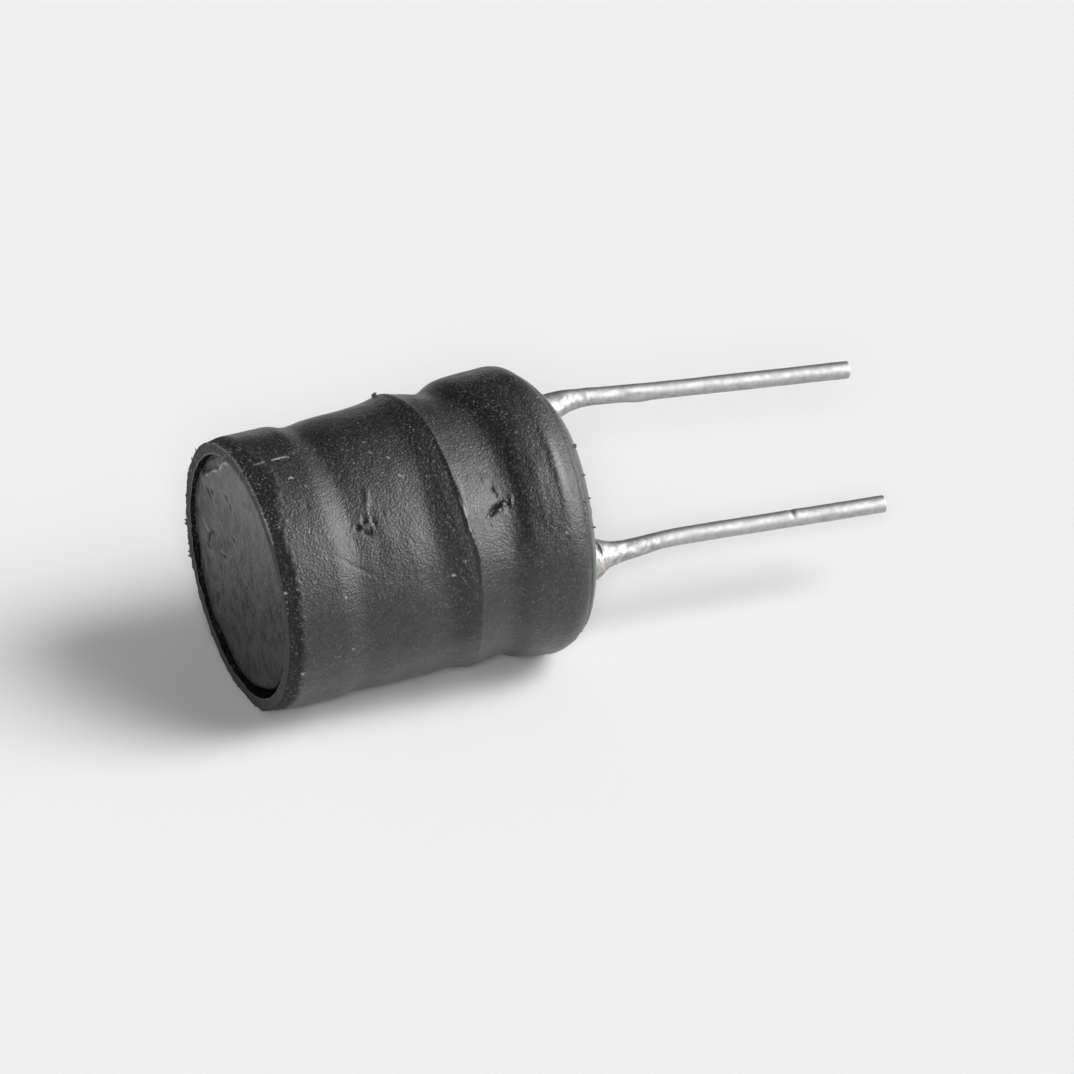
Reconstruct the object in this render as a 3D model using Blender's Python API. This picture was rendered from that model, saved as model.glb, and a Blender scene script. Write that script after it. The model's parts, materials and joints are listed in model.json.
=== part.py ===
"""Radial drum core inductor in a shrink sleeve, lying on its side with its two leads held clear.

Every piece is modelled along its own +X axis, from the sleeve's mouth (x = 0) to the lead tips.
One empty, "bench_rest", then lays the whole thing on the plane z = 0.
Angles around the axis are counted from +Y towards +Z.
"""

import math

import bmesh
import bpy
from mathutils import Matrix, Vector

MM = 0.001

# Clearances
SEAT_CLEARANCE = 0.05 * MM  # between the core, the winding and the sleeve that grips them
PIN_CLEARANCE = 0.02 * MM  # around a lead, inside its adhesive and its solder

# Ferrite drum core, turned in one piece
FACE_RECESS = 0.15 * MM  # the bare end face lies this far inside the sleeve's mouth
FRONT_FLANGE_THICKNESS = 2.0 * MM
FRONT_CHAMFER = 0.06 * MM
POST_RADIUS = 2.1 * MM
WINDOW_LENGTH = 7.4 * MM  # between the flanges
REAR_FLANGE_RADIUS = 4.73 * MM
FLANGE_STEP = 0.29 * MM  # how much smaller the front flange's radius is
REAR_FLANGE_THICKNESS = 1.9 * MM
REAR_CHAMFER = 0.22 * MM
CORE_SHIFT = 0.12 * MM  # the core sits off the sleeve's axis, towards lead 1

# Enamelled copper winding, which lies below the edge of the front flange by these depths
WIRE_RADIUS = 0.2 * MM
TURN_PITCH = 0.42 * MM
TURN_VALLEY = 0.09 * MM  # how far the valleys lie below the tops of the turns
TURN_CROWN = (0.28, 0.72)  # the shares of a turn between which it is nearly flat on top
TURN_CROWN_DROP = 0.012 * MM
WINDING_FRONT_BELOW = 0.17 * MM
WINDING_MIDDLE_BELOW = 0.08 * MM
WINDING_SWELL_BELOW = 0.02 * MM
WINDING_REAR_BELOW = 0.16 * MM
SWELL_AT = 4.7 * MM  # behind the front flange
REAR_LAYER_AT = 5.95 * MM  # behind the front flange, where the last layer stops short
TAIL_REACH = 0.26 * MM  # how far a tail stands out of the rear face, at its end's centre
TAIL_LEAN = 0.14 * MM  # how far it leans in to its solder joint

# Lead holes and wire notches in the rear flange, on one line across the axis
PIN_LINE_ANGLE = math.radians(57.6)
NOTCH_WIDTH = 0.6 * MM
NOTCH_BELOW_WINDING = 0.56 * MM  # from the top of the last turns down to the notch's floor
PIN_BELOW_NOTCH = 0.995 * MM  # from the notch's floor to the middle of the hole
PIN_HOLE_RADIUS = 0.42 * MM
PIN_HOLE_DEPTH = 1.4 * MM

# Tinned leads, glued into the rear flange and bent in use
LEAD_RADIUS = 0.305 * MM
TIP_ROUNDING = 0.06 * MM
LEAD_FOOT_GAP = 0.05 * MM  # under the lead, at the bottom of its hole
# Each route: distance past the rear face, and how far the lead has wandered out from its hole
LEAD_ROUTES = (
    (
        (0.0, 0.0),
        (0.9 * MM, 0.22 * MM),
        (1.85 * MM, 0.53 * MM),
        (2.4 * MM, 0.6 * MM),
        (3.0 * MM, 0.58 * MM),
        (4.25 * MM, 0.4 * MM),
        (6.0 * MM, 0.15 * MM),
        (13.26 * MM, -0.715 * MM),
    ),
    (
        (0.0, 0.0),
        (1.2 * MM, -0.14 * MM),
        (2.3 * MM, -0.25 * MM),
        (3.2 * MM, -0.2 * MM),
        (4.05 * MM, -0.26 * MM),
        (4.7 * MM, -0.305 * MM),
        (6.6 * MM, -0.215 * MM),
        (9.25 * MM, -0.035 * MM),
        (13.4 * MM, 0.305 * MM),
    ),
)
# Each joint: distance past the rear face, and the solder's thickness on the lead there
SOLDER_SHAPES = (
    (
        (0.0, 0.57 * MM),
        (1.0 * MM, 0.46 * MM),
        (1.85 * MM, 0.18 * MM),
        (2.6 * MM, 0.05 * MM),
    ),
    (
        (0.0, 0.6 * MM),
        (1.2 * MM, 0.55 * MM),
        (2.1 * MM, 0.47 * MM),
        (2.65 * MM, 0.2 * MM),
        (3.25 * MM, 0.05 * MM),
    ),
)
SOLDER_FOOT_GAP = 0.03 * MM

# Shrink sleeve
SLEEVE_WALL = 0.45 * MM
MOUTH_TURN_IN = 0.04 * MM  # how far the mouth's edge turns in
MOUTH_BAND = 0.75 * MM
WAIST_GAP = 0.6 * MM  # from the front flange's back to where the sleeve is narrowest
FOLD_HEIGHT = 0.13 * MM  # a ridge where the sleeve shrank into a fold
FOLD_AT = 5.15 * MM  # behind the front flange
FOLD_FOOT = 1.05 * MM  # length of the slope in front of the fold
SWELL_RUN = 1.47 * MM  # length of the gentle rise before that slope
DIP_BEFORE_FLANGE = 0.8 * MM  # from the bottom of the dip to the rear flange
FLANGE_COVER_AT = 0.2 * MM  # behind the rear flange's front edge, where the sleeve covers it fully
BULGE_SWELL = 0.04 * MM  # how much further the sleeve stands out at the rear shoulder
REAR_LAP = 0.8 * MM  # from the rear face to the end of the sleeve
SHOULDER_LENGTH = 1.2 * MM
SHOULDER_DEPTH = 1.18 * MM  # how far the rear end has turned in at its rim
RIM_TURN = math.radians(80.0)
FOLD_SLANT = 0.45 * MM  # the fold and the dip run aslant around the sleeve by this much each way
END_WAVE = 0.1  # the rear end's length varies by this share of the shoulder
FLANGE_SLANT = 0.5  # the rise onto the rear flange runs aslant by this share of that
SLANT_ANGLE = math.radians(237.6)  # the side where the fold and the dip lie furthest back
UNDERSIDE = math.radians(270.0)
FLAT_HALF_ANGLE = math.radians(10.0)  # the sleeve has settled flat this far each way from its underside

# Facets
SLEEVE_SEGMENTS = 36
CORE_SEGMENTS = 48
WINDING_SEGMENTS = 32
LEAD_SIDES = 12
HOLE_SIDES = 20
TAIL_SIDES = 8
TAIL_BENDS = 4
SLEEVE_STEP = 0.48 * MM
SHOULDER_STEPS = 6
LEAD_STEP = 0.5 * MM
SOLDER_STEP = 0.26 * MM
HEADING_STEP = 0.02 * MM  # the short stretch of a lead that gives its direction at a place
MERGE = 1e-7

# Places along the axis
CORE_FRONT = FACE_RECESS
WINDOW_FRONT = CORE_FRONT + FRONT_FLANGE_THICKNESS
WINDOW_REAR = WINDOW_FRONT + WINDOW_LENGTH
CORE_REAR = WINDOW_REAR + REAR_FLANGE_THICKNESS
SLEEVE_END = CORE_REAR + REAR_LAP
SHOULDER_START = SLEEVE_END - SHOULDER_LENGTH

# Distances from the core's axis
FRONT_FLANGE_RADIUS = REAR_FLANGE_RADIUS - FLANGE_STEP
WINDING_FRONT_RADIUS = FRONT_FLANGE_RADIUS - WINDING_FRONT_BELOW
WINDING_MIDDLE_RADIUS = FRONT_FLANGE_RADIUS - WINDING_MIDDLE_BELOW
WINDING_SWELL_RADIUS = FRONT_FLANGE_RADIUS - WINDING_SWELL_BELOW
WINDING_REAR_RADIUS = FRONT_FLANGE_RADIUS - WINDING_REAR_BELOW
NOTCH_FLOOR = WINDING_REAR_RADIUS - NOTCH_BELOW_WINDING
PIN_OFFSET = NOTCH_FLOOR - PIN_BELOW_NOTCH  # 2.725 mm, so the leads start 5.45 mm apart

AXIS = Vector((1.0, 0.0, 0.0))
PIN_LINE = Vector((0.0, math.cos(PIN_LINE_ANGLE), math.sin(PIN_LINE_ANGLE)))
ACROSS = AXIS.cross(PIN_LINE)
CORE_CENTRE = PIN_LINE * CORE_SHIFT


def clear_scene():
    for thing in list(bpy.data.objects):
        bpy.data.objects.remove(thing, do_unlink=True)


def material(name, colour, roughness, metallic):
    made = bpy.data.materials.new(name)
    made.use_nodes = True
    shader = made.node_tree.nodes["Principled BSDF"]
    shader.inputs["Base Color"].default_value = (*colour, 1.0)
    shader.inputs["Roughness"].default_value = roughness
    shader.inputs["Metallic"].default_value = metallic
    return made


def add_piece(name, bm, finish, parent, smooth_below=40.0):
    """Closes a bmesh into an object with its faces pointing out."""
    bmesh.ops.remove_doubles(bm, verts=bm.verts, dist=MERGE)
    bmesh.ops.recalc_face_normals(bm, faces=bm.faces)
    mesh = bpy.data.meshes.new(name)
    bm.to_mesh(mesh)
    bm.free()
    mesh.shade_smooth()
    mesh.set_sharp_from_angle(angle=math.radians(smooth_below))
    if finish is not None:
        mesh.materials.append(finish)
    piece = bpy.data.objects.new(name, mesh)
    bpy.context.collection.objects.link(piece)
    piece.parent = parent
    return piece


def add_tool(name, bm, parent):
    """A shape that only cuts or joins another piece."""
    tool = add_piece(name, bm, None, parent)
    tool.hide_render = True
    tool.display_type = "WIRE"
    return tool


def combine(piece, tool, operation):
    step = piece.modifiers.new(tool.name, "BOOLEAN")
    step.operation = operation
    step.solver = "EXACT"
    step.object = tool


def through(stations, at):
    """The height at one place on a curve through (place, height) stations, which never overshoots them."""
    if at <= stations[0][0]:
        return stations[0][1]
    if at >= stations[-1][0]:
        return stations[-1][1]
    secants = [(y1 - y0) / (x1 - x0) for (x0, y0), (x1, y1) in zip(stations[:-1], stations[1:])]
    slopes = [0.0]
    for before, after in zip(secants[:-1], secants[1:]):
        level = before * after <= 0.0
        slopes.append(0.0 if level else 2 * before * after / (before + after))
    slopes.append(secants[-1])
    for i in range(len(stations) - 1):
        (x0, y0), (x1, y1) = stations[i], stations[i + 1]
        if at <= x1:
            span = x1 - x0
            t = (at - x0) / span
            rise = (2 * t**3 - 3 * t**2 + 1) * y0 + (3 * t**2 - 2 * t**3) * y1
            lean = (t**3 - 2 * t**2 + t) * slopes[i] + (t**3 - t**2) * slopes[i + 1]
            return rise + lean * span
    return stations[-1][1]


def evenly(start, end, step):
    """Places from start to end, both included, about one step apart."""
    count = max(2, round((end - start) / step))
    return [start + (end - start) * i / count for i in range(count + 1)]


def turned(profile, segments, closed):
    """A profile of (along, radius) points turned once around the X axis."""
    bm = bmesh.new()
    verts = [bm.verts.new((along, radius, 0.0)) for along, radius in profile]
    edges = [bm.edges.new(pair) for pair in zip(verts[:-1], verts[1:])]
    if closed:
        edges.append(bm.edges.new((verts[-1], verts[0])))
    bmesh.ops.spin(
        bm, geom=verts + edges, cent=(0, 0, 0), axis=AXIS, angle=2 * math.pi, steps=segments, use_merge=True
    )
    bmesh.ops.remove_doubles(bm, verts=bm.verts, dist=MERGE)
    return bm


def lofted(rings, sides, closed):
    """A skin drawn through circles of (centre, heading, radius), all square to one plane across the pins."""
    bm = bmesh.new()
    frames = []
    for centre, heading, radius in rings:
        turn = Matrix((heading.cross(ACROSS), ACROSS, heading)).transposed().to_4x4()
        frames.append(Matrix.Translation(centre) @ turn @ Matrix.Scale(radius, 4))
    bmesh.ops.create_circle(bm, cap_ends=not closed, segments=sides, radius=1.0, matrix=frames[0])
    edges = list(bm.edges)
    if closed:
        frames.append(frames[0])
    for before, after in zip(frames[:-1], frames[1:]):
        made = bmesh.ops.extrude_edge_only(bm, edges=edges)["geom"]
        edges = [part for part in made if isinstance(part, bmesh.types.BMEdge)]
        verts = [part for part in made if isinstance(part, bmesh.types.BMVert)]
        bmesh.ops.transform(bm, matrix=after @ before.inverted(), verts=verts)
    if not closed:
        bmesh.ops.contextual_create(bm, geom=edges)
    return bm


def straight_rod(start, end, radius, sides):
    heading = (end - start).normalized()
    return lofted([(start, heading, radius), (end, heading, radius)], sides, closed=False)


def on_pin_line(along, out):
    """A point in the plane of the two leads, measured from the core's own axis."""
    return CORE_CENTRE + AXIS * along + PIN_LINE * out


def lead_side(number):
    return 1.0 if number == 0 else -1.0


def pin_offset(number):
    return lead_side(number) * PIN_OFFSET


def lead_place(number, past_face):
    """The lead's centre and heading, at a distance past the rear face (or before it, in the hole)."""
    route = LEAD_ROUTES[number]
    out = through(route, past_face)
    start = min(past_face, route[-1][0] - HEADING_STEP) - HEADING_STEP
    end = start + 2 * HEADING_STEP
    slope = (through(route, end) - through(route, start)) / (end - start)
    side = lead_side(number)
    centre = on_pin_line(CORE_REAR + past_face, pin_offset(number) + side * out)
    return centre, (AXIS + PIN_LINE * side * slope).normalized()


def covered(radius):
    """The sleeve's outer radius where it grips something of this radius."""
    return radius + CORE_SHIFT + SEAT_CLEARANCE + SLEEVE_WALL


def bulge_radius():
    """The sleeve's widest radius, where the rear shoulder starts."""
    return covered(REAR_FLANGE_RADIUS) + BULGE_SWELL


def sleeve_stations(slant):
    """The sleeve's outer radius along its straight part; slant runs from -1 to 1 around it."""
    shift = FOLD_SLANT * slant
    fold = WINDOW_FRONT + FOLD_AT + shift
    dip = WINDOW_REAR - DIP_BEFORE_FLANGE + shift
    return (
        (0.0, covered(FRONT_FLANGE_RADIUS) - MOUTH_TURN_IN),
        (MOUTH_BAND, covered(FRONT_FLANGE_RADIUS)),
        (WINDOW_FRONT - SEAT_CLEARANCE, covered(FRONT_FLANGE_RADIUS)),
        (WINDOW_FRONT + WAIST_GAP, covered(WINDING_FRONT_RADIUS)),
        (fold - FOLD_FOOT - SWELL_RUN, covered(WINDING_MIDDLE_RADIUS)),
        (fold - FOLD_FOOT, covered(WINDING_SWELL_RADIUS)),
        (fold, covered(WINDING_SWELL_RADIUS) + FOLD_HEIGHT),
        (dip, covered(WINDING_REAR_RADIUS)),
        (WINDOW_REAR + FLANGE_COVER_AT + FLANGE_SLANT * shift, covered(REAR_FLANGE_RADIUS)),
        (SHOULDER_START, bulge_radius()),
    )


def winding_radius(along):
    return through(
        (
            (WINDOW_FRONT, WINDING_FRONT_RADIUS),
            (WINDOW_FRONT + SWELL_AT / 2, WINDING_MIDDLE_RADIUS),
            (WINDOW_FRONT + SWELL_AT, WINDING_SWELL_RADIUS),
            (WINDOW_FRONT + REAR_LAYER_AT, WINDING_REAR_RADIUS),
            (WINDOW_REAR, WINDING_REAR_RADIUS),
        ),
        along,
    )


def make_core(finish, parent):
    profile = (
        (CORE_FRONT, 0.0),
        (CORE_FRONT, FRONT_FLANGE_RADIUS - FRONT_CHAMFER),
        (CORE_FRONT + FRONT_CHAMFER, FRONT_FLANGE_RADIUS),
        (WINDOW_FRONT - FRONT_CHAMFER, FRONT_FLANGE_RADIUS),
        (WINDOW_FRONT, FRONT_FLANGE_RADIUS - FRONT_CHAMFER),
        (WINDOW_FRONT, POST_RADIUS),
        (WINDOW_REAR, POST_RADIUS),
        (WINDOW_REAR, REAR_FLANGE_RADIUS - REAR_CHAMFER),
        (WINDOW_REAR + REAR_CHAMFER, REAR_FLANGE_RADIUS),
        (CORE_REAR - REAR_CHAMFER, REAR_FLANGE_RADIUS),
        (CORE_REAR, REAR_FLANGE_RADIUS - REAR_CHAMFER),
        (CORE_REAR, 0.0),
    )
    bm = turned(profile, CORE_SEGMENTS, closed=False)
    bmesh.ops.translate(bm, verts=bm.verts, vec=CORE_CENTRE)
    core = add_piece("drum_core", bm, finish, parent, smooth_below=30.0)
    for number in range(2):
        combine(core, make_hole_cutter(number, parent), "DIFFERENCE")
        combine(core, make_notch_cutter(number, parent), "DIFFERENCE")
    return core


def make_hole_cutter(number, parent):
    """A blind hole from the rear face, cut from well outside it."""
    start = on_pin_line(CORE_REAR - PIN_HOLE_DEPTH, pin_offset(number))
    end = on_pin_line(CORE_REAR + REAR_FLANGE_THICKNESS, pin_offset(number))
    rod = straight_rod(start, end, PIN_HOLE_RADIUS, HOLE_SIDES)
    return add_tool(f"lead_hole_cutter_{number + 1}", rod, parent)


def make_notch_cutter(number, parent):
    """A slot with a flat floor through the edge of the rear flange, cut from as far outside it again."""
    bm = bmesh.new()
    bmesh.ops.create_cube(bm, size=1.0)
    height = 2 * (REAR_FLANGE_RADIUS - NOTCH_FLOOR)
    length = 2 * REAR_FLANGE_THICKNESS
    bmesh.ops.scale(bm, verts=bm.verts, vec=(length, height, NOTCH_WIDTH))
    frame = Matrix((AXIS, PIN_LINE, ACROSS)).transposed().to_4x4()
    out = lead_side(number) * (NOTCH_FLOOR + height / 2)
    middle = on_pin_line(CORE_REAR - REAR_FLANGE_THICKNESS / 2, out)
    bmesh.ops.transform(bm, matrix=Matrix.Translation(middle) @ frame, verts=bm.verts)
    return add_tool(f"wire_notch_cutter_{number + 1}", bm, parent)


def make_winding(finish, parent):
    """The layers as one solid, ribbed by the turns of its outer layer, with a tail to each lead."""
    front = WINDOW_FRONT + SEAT_CLEARANCE
    rear = WINDOW_REAR - SEAT_CLEARANCE
    inner = POST_RADIUS + SEAT_CLEARANCE
    turns = round((rear - front) / TURN_PITCH)
    pitch = (rear - front) / turns
    profile = [(front, inner)]
    for turn in range(turns):
        valley = front + turn * pitch
        profile.append((valley, winding_radius(valley) - TURN_VALLEY))
        for share in TURN_CROWN:
            crown = valley + share * pitch
            profile.append((crown, winding_radius(crown) - TURN_CROWN_DROP))
    profile.append((rear, winding_radius(rear) - TURN_VALLEY))
    profile.append((rear, inner))
    bm = turned(profile, WINDING_SEGMENTS, closed=True)
    bmesh.ops.translate(bm, verts=bm.verts, vec=CORE_CENTRE)
    winding = add_piece("winding", bm, finish, parent, smooth_below=60.0)
    for number in range(2):
        combine(winding, make_tail(number, parent), "UNION")
    return winding


def make_tail(number, parent):
    """One end of the wire, through the notch in the rear flange and in to its solder joint."""
    side = lead_side(number)
    height = NOTCH_FLOOR + SEAT_CLEARANCE + WIRE_RADIUS
    inside = WINDOW_REAR - WIRE_RADIUS
    bend_start = CORE_REAR - WIRE_RADIUS
    bend_end = CORE_REAR + TAIL_REACH
    rings = [(on_pin_line(inside, side * height), AXIS, WIRE_RADIUS)]
    rings.append((on_pin_line(bend_start, side * height), AXIS, WIRE_RADIUS))
    for i in range(1, TAIL_BENDS + 1):
        share = i / TAIL_BENDS
        along = bend_start + (bend_end - bend_start) * share
        lean = TAIL_LEAN * share**2
        slope = 2 * TAIL_LEAN * share / (bend_end - bend_start)
        heading = (AXIS - PIN_LINE * side * slope).normalized()
        rings.append((on_pin_line(along, side * (height - lean)), heading, WIRE_RADIUS))
    return add_tool(f"wire_tail_{number + 1}", lofted(rings, TAIL_SIDES, closed=False), parent)


def make_lead(number, finish, parent):
    foot = LEAD_FOOT_GAP - PIN_HOLE_DEPTH
    tip = LEAD_ROUTES[number][-1][0]
    places = [foot] + evenly(0.0, tip - TIP_ROUNDING, LEAD_STEP)
    rings = [(*lead_place(number, foot - TIP_ROUNDING / 2), LEAD_RADIUS - TIP_ROUNDING)]
    rings += [(*lead_place(number, place), LEAD_RADIUS) for place in places]
    rings.append((*lead_place(number, tip), LEAD_RADIUS - TIP_ROUNDING))
    return add_piece(f"lead_{number + 1}", lofted(rings, LEAD_SIDES, closed=False), finish, parent)


def make_adhesive(number, finish, parent):
    """The cured cup of adhesive that holds a lead in its hole."""
    inner = LEAD_RADIUS + PIN_CLEARANCE
    outer = PIN_HOLE_RADIUS - PIN_CLEARANCE
    deep = -PIN_HOLE_DEPTH + 2 * PIN_CLEARANCE
    flush = -PIN_CLEARANCE
    ends = [(deep, outer), (flush, outer), (flush, inner), (deep, inner)]
    rings = [
        (on_pin_line(CORE_REAR + past_face, pin_offset(number)), AXIS, radius) for past_face, radius in ends
    ]
    bm = lofted(rings, HOLE_SIDES, closed=True)
    return add_piece(f"lead_adhesive_{number + 1}", bm, finish, parent)


def make_solder(number, finish, parent):
    """The solder cone over the wire's wrapped end, on the lead's root."""
    shape = SOLDER_SHAPES[number]
    places = evenly(SOLDER_FOOT_GAP, shape[-1][0], SOLDER_STEP)
    bore = LEAD_RADIUS + PIN_CLEARANCE
    outside = [(*lead_place(number, place), bore + through(shape, place) - PIN_CLEARANCE) for place in places]
    inside = [(*lead_place(number, place), bore) for place in places]
    bm = lofted(outside + inside[::-1], LEAD_SIDES, closed=True)
    return add_piece(f"solder_joint_{number + 1}", bm, finish, parent)


def shoulder_point(turn, inset):
    """A point on the rear shoulder, an elliptical quarter turn, or on its inner side."""
    centre = bulge_radius() - SHOULDER_DEPTH
    along = SHOULDER_START + (SHOULDER_LENGTH - inset) * math.sin(turn)
    return along, centre + (SHOULDER_DEPTH - inset) * math.cos(turn)


def warped(point):
    """Moves a point of the evenly turned sleeve to where the shrunk sleeve really is at its angle."""
    along, radius = point.x, math.hypot(point.y, point.z)
    angle = math.atan2(point.z, point.y)
    slant = math.cos(angle - SLANT_ANGLE)
    change = through(sleeve_stations(slant), along) - through(sleeve_stations(0.0), along)
    if along > SHOULDER_START:
        along = SHOULDER_START + (along - SHOULDER_START) * (1 + END_WAVE * slant)
    grown = radius + change
    off_underside = abs(math.remainder(angle - UNDERSIDE, 2 * math.pi))
    if off_underside < FLAT_HALF_ANGLE:
        grown *= math.cos(FLAT_HALF_ANGLE) / math.cos(off_underside)
    return Vector((along, grown * math.cos(angle), grown * math.sin(angle)))


def make_sleeve(finish, parent):
    stations = sleeve_stations(0.0)
    straight = evenly(0.0, SHOULDER_START, SLEEVE_STEP)
    turns = [RIM_TURN * i / SHOULDER_STEPS for i in range(1, SHOULDER_STEPS + 1)]
    outside = [(along, through(stations, along)) for along in straight]
    outside += [shoulder_point(turn, 0.0) for turn in turns]
    inside = [(along, through(stations, along) - SLEEVE_WALL) for along in straight]
    inside += [shoulder_point(turn, SLEEVE_WALL) for turn in turns]
    bm = turned(outside + inside[::-1], SLEEVE_SEGMENTS, closed=True)
    for vert in bm.verts:
        vert.co = warped(vert.co)
    return add_piece("shrink_sleeve", bm, finish, parent)


def world_corners(pieces):
    """The lowest and the highest corner of the pieces as they lie."""
    graph = bpy.context.evaluated_depsgraph_get()
    low, high = Vector((math.inf,) * 3), Vector((-math.inf,) * 3)
    for piece in pieces:
        shown = piece.evaluated_get(graph)
        mesh = shown.to_mesh()
        for vert in mesh.vertices:
            place = shown.matrix_world @ vert.co
            low = Vector(map(min, low, place))
            high = Vector(map(max, high, place))
        shown.to_mesh_clear()
    return low, high


def resting_slope():
    """How steeply the axis rises towards the leads when the front band and the rear bulge both touch."""
    below = sleeve_stations(math.cos(UNDERSIDE - SLANT_ANGLE))
    front = WINDOW_FRONT - SEAT_CLEARANCE
    places = evenly(WINDOW_REAR, SHOULDER_START, SLEEVE_STEP)
    rises = [(through(below, place) - through(below, front)) / (place - front) for place in places]
    return max(rises) * math.cos(FLAT_HALF_ANGLE)


def lay_down(rest, pieces):
    """Lays the sleeve on z = 0, with the origin under the middle of the whole part."""
    rest.rotation_euler = (0.0, -math.atan(resting_slope()), 0.0)
    bpy.context.view_layer.update()
    low, high = world_corners(pieces)
    rest.location = (-(low.x + high.x) / 2, -(low.y + high.y) / 2, -low.z)
    bpy.context.view_layer.update()


def main():
    clear_scene()
    rest = bpy.data.objects.new("bench_rest", None)
    bpy.context.collection.objects.link(rest)

    ferrite = material("ferrite", (0.075, 0.075, 0.076), 0.62, 0.0)
    enamel = material("copper_enamel", (0.36, 0.11, 0.04), 0.35, 0.6)
    tin = material("tinned_wire", (0.56, 0.56, 0.55), 0.38, 1.0)
    solder = material("solder", (0.62, 0.62, 0.61), 0.28, 1.0)
    adhesive = material("adhesive", (0.5, 0.42, 0.25), 0.4, 0.0)
    shrink = material("shrink_tube", (0.028, 0.028, 0.029), 0.5, 0.0)

    pieces = [make_core(ferrite, rest), make_winding(enamel, rest)]
    for number in range(2):
        pieces.append(make_adhesive(number, adhesive, rest))
        pieces.append(make_lead(number, tin, rest))
        pieces.append(make_solder(number, solder, rest))
    pieces.append(make_sleeve(shrink, rest))
    lay_down(rest, pieces)


main()
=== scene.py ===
import json
import math
import random

import bmesh
import bpy
import numpy as np
from mathutils import Matrix, Vector, noise


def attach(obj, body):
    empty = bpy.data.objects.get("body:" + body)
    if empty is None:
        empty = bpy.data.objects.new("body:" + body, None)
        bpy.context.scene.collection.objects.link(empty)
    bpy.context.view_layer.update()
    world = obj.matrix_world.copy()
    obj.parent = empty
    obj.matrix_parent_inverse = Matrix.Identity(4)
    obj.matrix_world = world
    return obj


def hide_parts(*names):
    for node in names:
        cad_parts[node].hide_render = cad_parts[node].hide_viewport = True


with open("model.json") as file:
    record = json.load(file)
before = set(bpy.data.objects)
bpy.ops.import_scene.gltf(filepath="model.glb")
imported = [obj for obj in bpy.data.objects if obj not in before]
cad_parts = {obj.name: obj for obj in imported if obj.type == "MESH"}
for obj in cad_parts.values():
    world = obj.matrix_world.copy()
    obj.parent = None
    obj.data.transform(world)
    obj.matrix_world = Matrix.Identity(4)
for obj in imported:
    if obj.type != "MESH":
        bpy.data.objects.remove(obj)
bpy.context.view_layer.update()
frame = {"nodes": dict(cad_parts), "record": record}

mm = 0.001

# Every piece is shaped in millimetres along the body: X from the mouth to the leads, Y and Z across it.
# Angles run from Y towards Z. A "side" angle is counted from the side that faces the photograph's camera,
# so that -90 is the top edge of the body in the photograph and 90 the bottom edge.
body = {
    "faceRecess": 0.15,  # from the sleeve's mouth in to the ferrite face
    "coreShift": 0.12,  # the core sits off the sleeve's axis, towards lead 1
    "pinLine": 57.6,  # the line through both leads
    "nearSide": 147.86,  # where side angles start
    "coreRear": 11.45,
    "pinOffset": 2.725,
}


def bodyFrame():
    face = next(m for m in frame["record"]["mounts"] if m["name"] == "core_end")
    along = -Vector(face["axis"])
    across = Vector((0, 1, 0))
    up = along.cross(across)
    pin = across * math.cos(math.radians(body["pinLine"])) + up * math.sin(math.radians(body["pinLine"]))
    mouth = Vector(face["pos_m"]) - along * body["faceRecess"] * mm - pin * body["coreShift"] * mm
    turn = Matrix((along, across, up)).transposed().to_4x4()
    return Matrix.Translation(mouth) @ turn @ Matrix.Scale(mm, 4)


toFrame = bodyFrame()
pinAngle = math.radians(body["pinLine"])
pinLine = np.array([0.0, math.cos(pinAngle), math.sin(pinAngle)])
acrossPins = np.cross([1.0, 0.0, 0.0], pinLine)
coreCentre = pinLine * body["coreShift"]


# Modelling helpers
def turned(profile, segments, closed=False):
    # a profile of (along, radius) points, spun once around the X axis
    bm = bmesh.new()
    verts = [bm.verts.new((along, radius, 0)) for along, radius in profile]
    edges = [bm.edges.new(pair) for pair in zip(verts[:-1], verts[1:])]
    if closed:
        edges.append(bm.edges.new((verts[-1], verts[0])))
    bmesh.ops.spin(
        bm,
        geom=verts + edges,
        cent=(0, 0, 0),
        axis=(1, 0, 0),
        angle=math.tau,
        steps=segments,
        use_merge=True,
    )
    bmesh.ops.remove_doubles(bm, verts=bm.verts, dist=1e-5)
    bmesh.ops.recalc_face_normals(bm, faces=bm.faces)
    return bm


def pointsOf(bm):
    return np.array([v.co for v in bm.verts])


def movePoints(bm, points):
    for vert, point in zip(bm.verts, points):
        vert.co = point


def paint(bm, name, values):
    # keeps one number for each vertex, for the material to read
    layer = bm.verts.layers.float.new(name)
    for vert, value in zip(bm.verts, values):
        vert[layer] = value


def smoothLine(stations, at):
    # the height on a curve through (place, height) stations, which never overshoots them
    xs, ys = np.array(stations, float).T
    run = np.diff(xs)
    rise = np.diff(ys) / run
    slopes = np.zeros(len(xs))
    same = rise[:-1] * rise[1:] > 0
    slopes[1:-1][same] = 2 * (rise[:-1] * rise[1:])[same] / (rise[:-1] + rise[1:])[same]
    slopes[-1] = rise[-1]
    i = np.clip(np.searchsorted(xs, at, side="right") - 1, 0, len(xs) - 2)
    t = np.clip((at - xs[i]) / run[i], 0, 1)
    level = ys[i] * (2 * t**3 - 3 * t**2 + 1) + ys[i + 1] * (3 * t**2 - 2 * t**3)
    return level + run[i] * (slopes[i] * (t**3 - 2 * t**2 + t) + slopes[i + 1] * (t**3 - t**2))


def lumps(points, size, seed, height=1.0):
    # smooth noise with lumps of about that size in mm and that height
    shift = Vector((seed, seed * 1.7, seed * 0.6))
    return np.array([noise.noise(Vector(p) / size + shift) for p in points]) * height


def ramp(values, start, length):
    # rises from 0 to 1 over that length
    return np.clip((values - start) / length, 0, 1)


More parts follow.
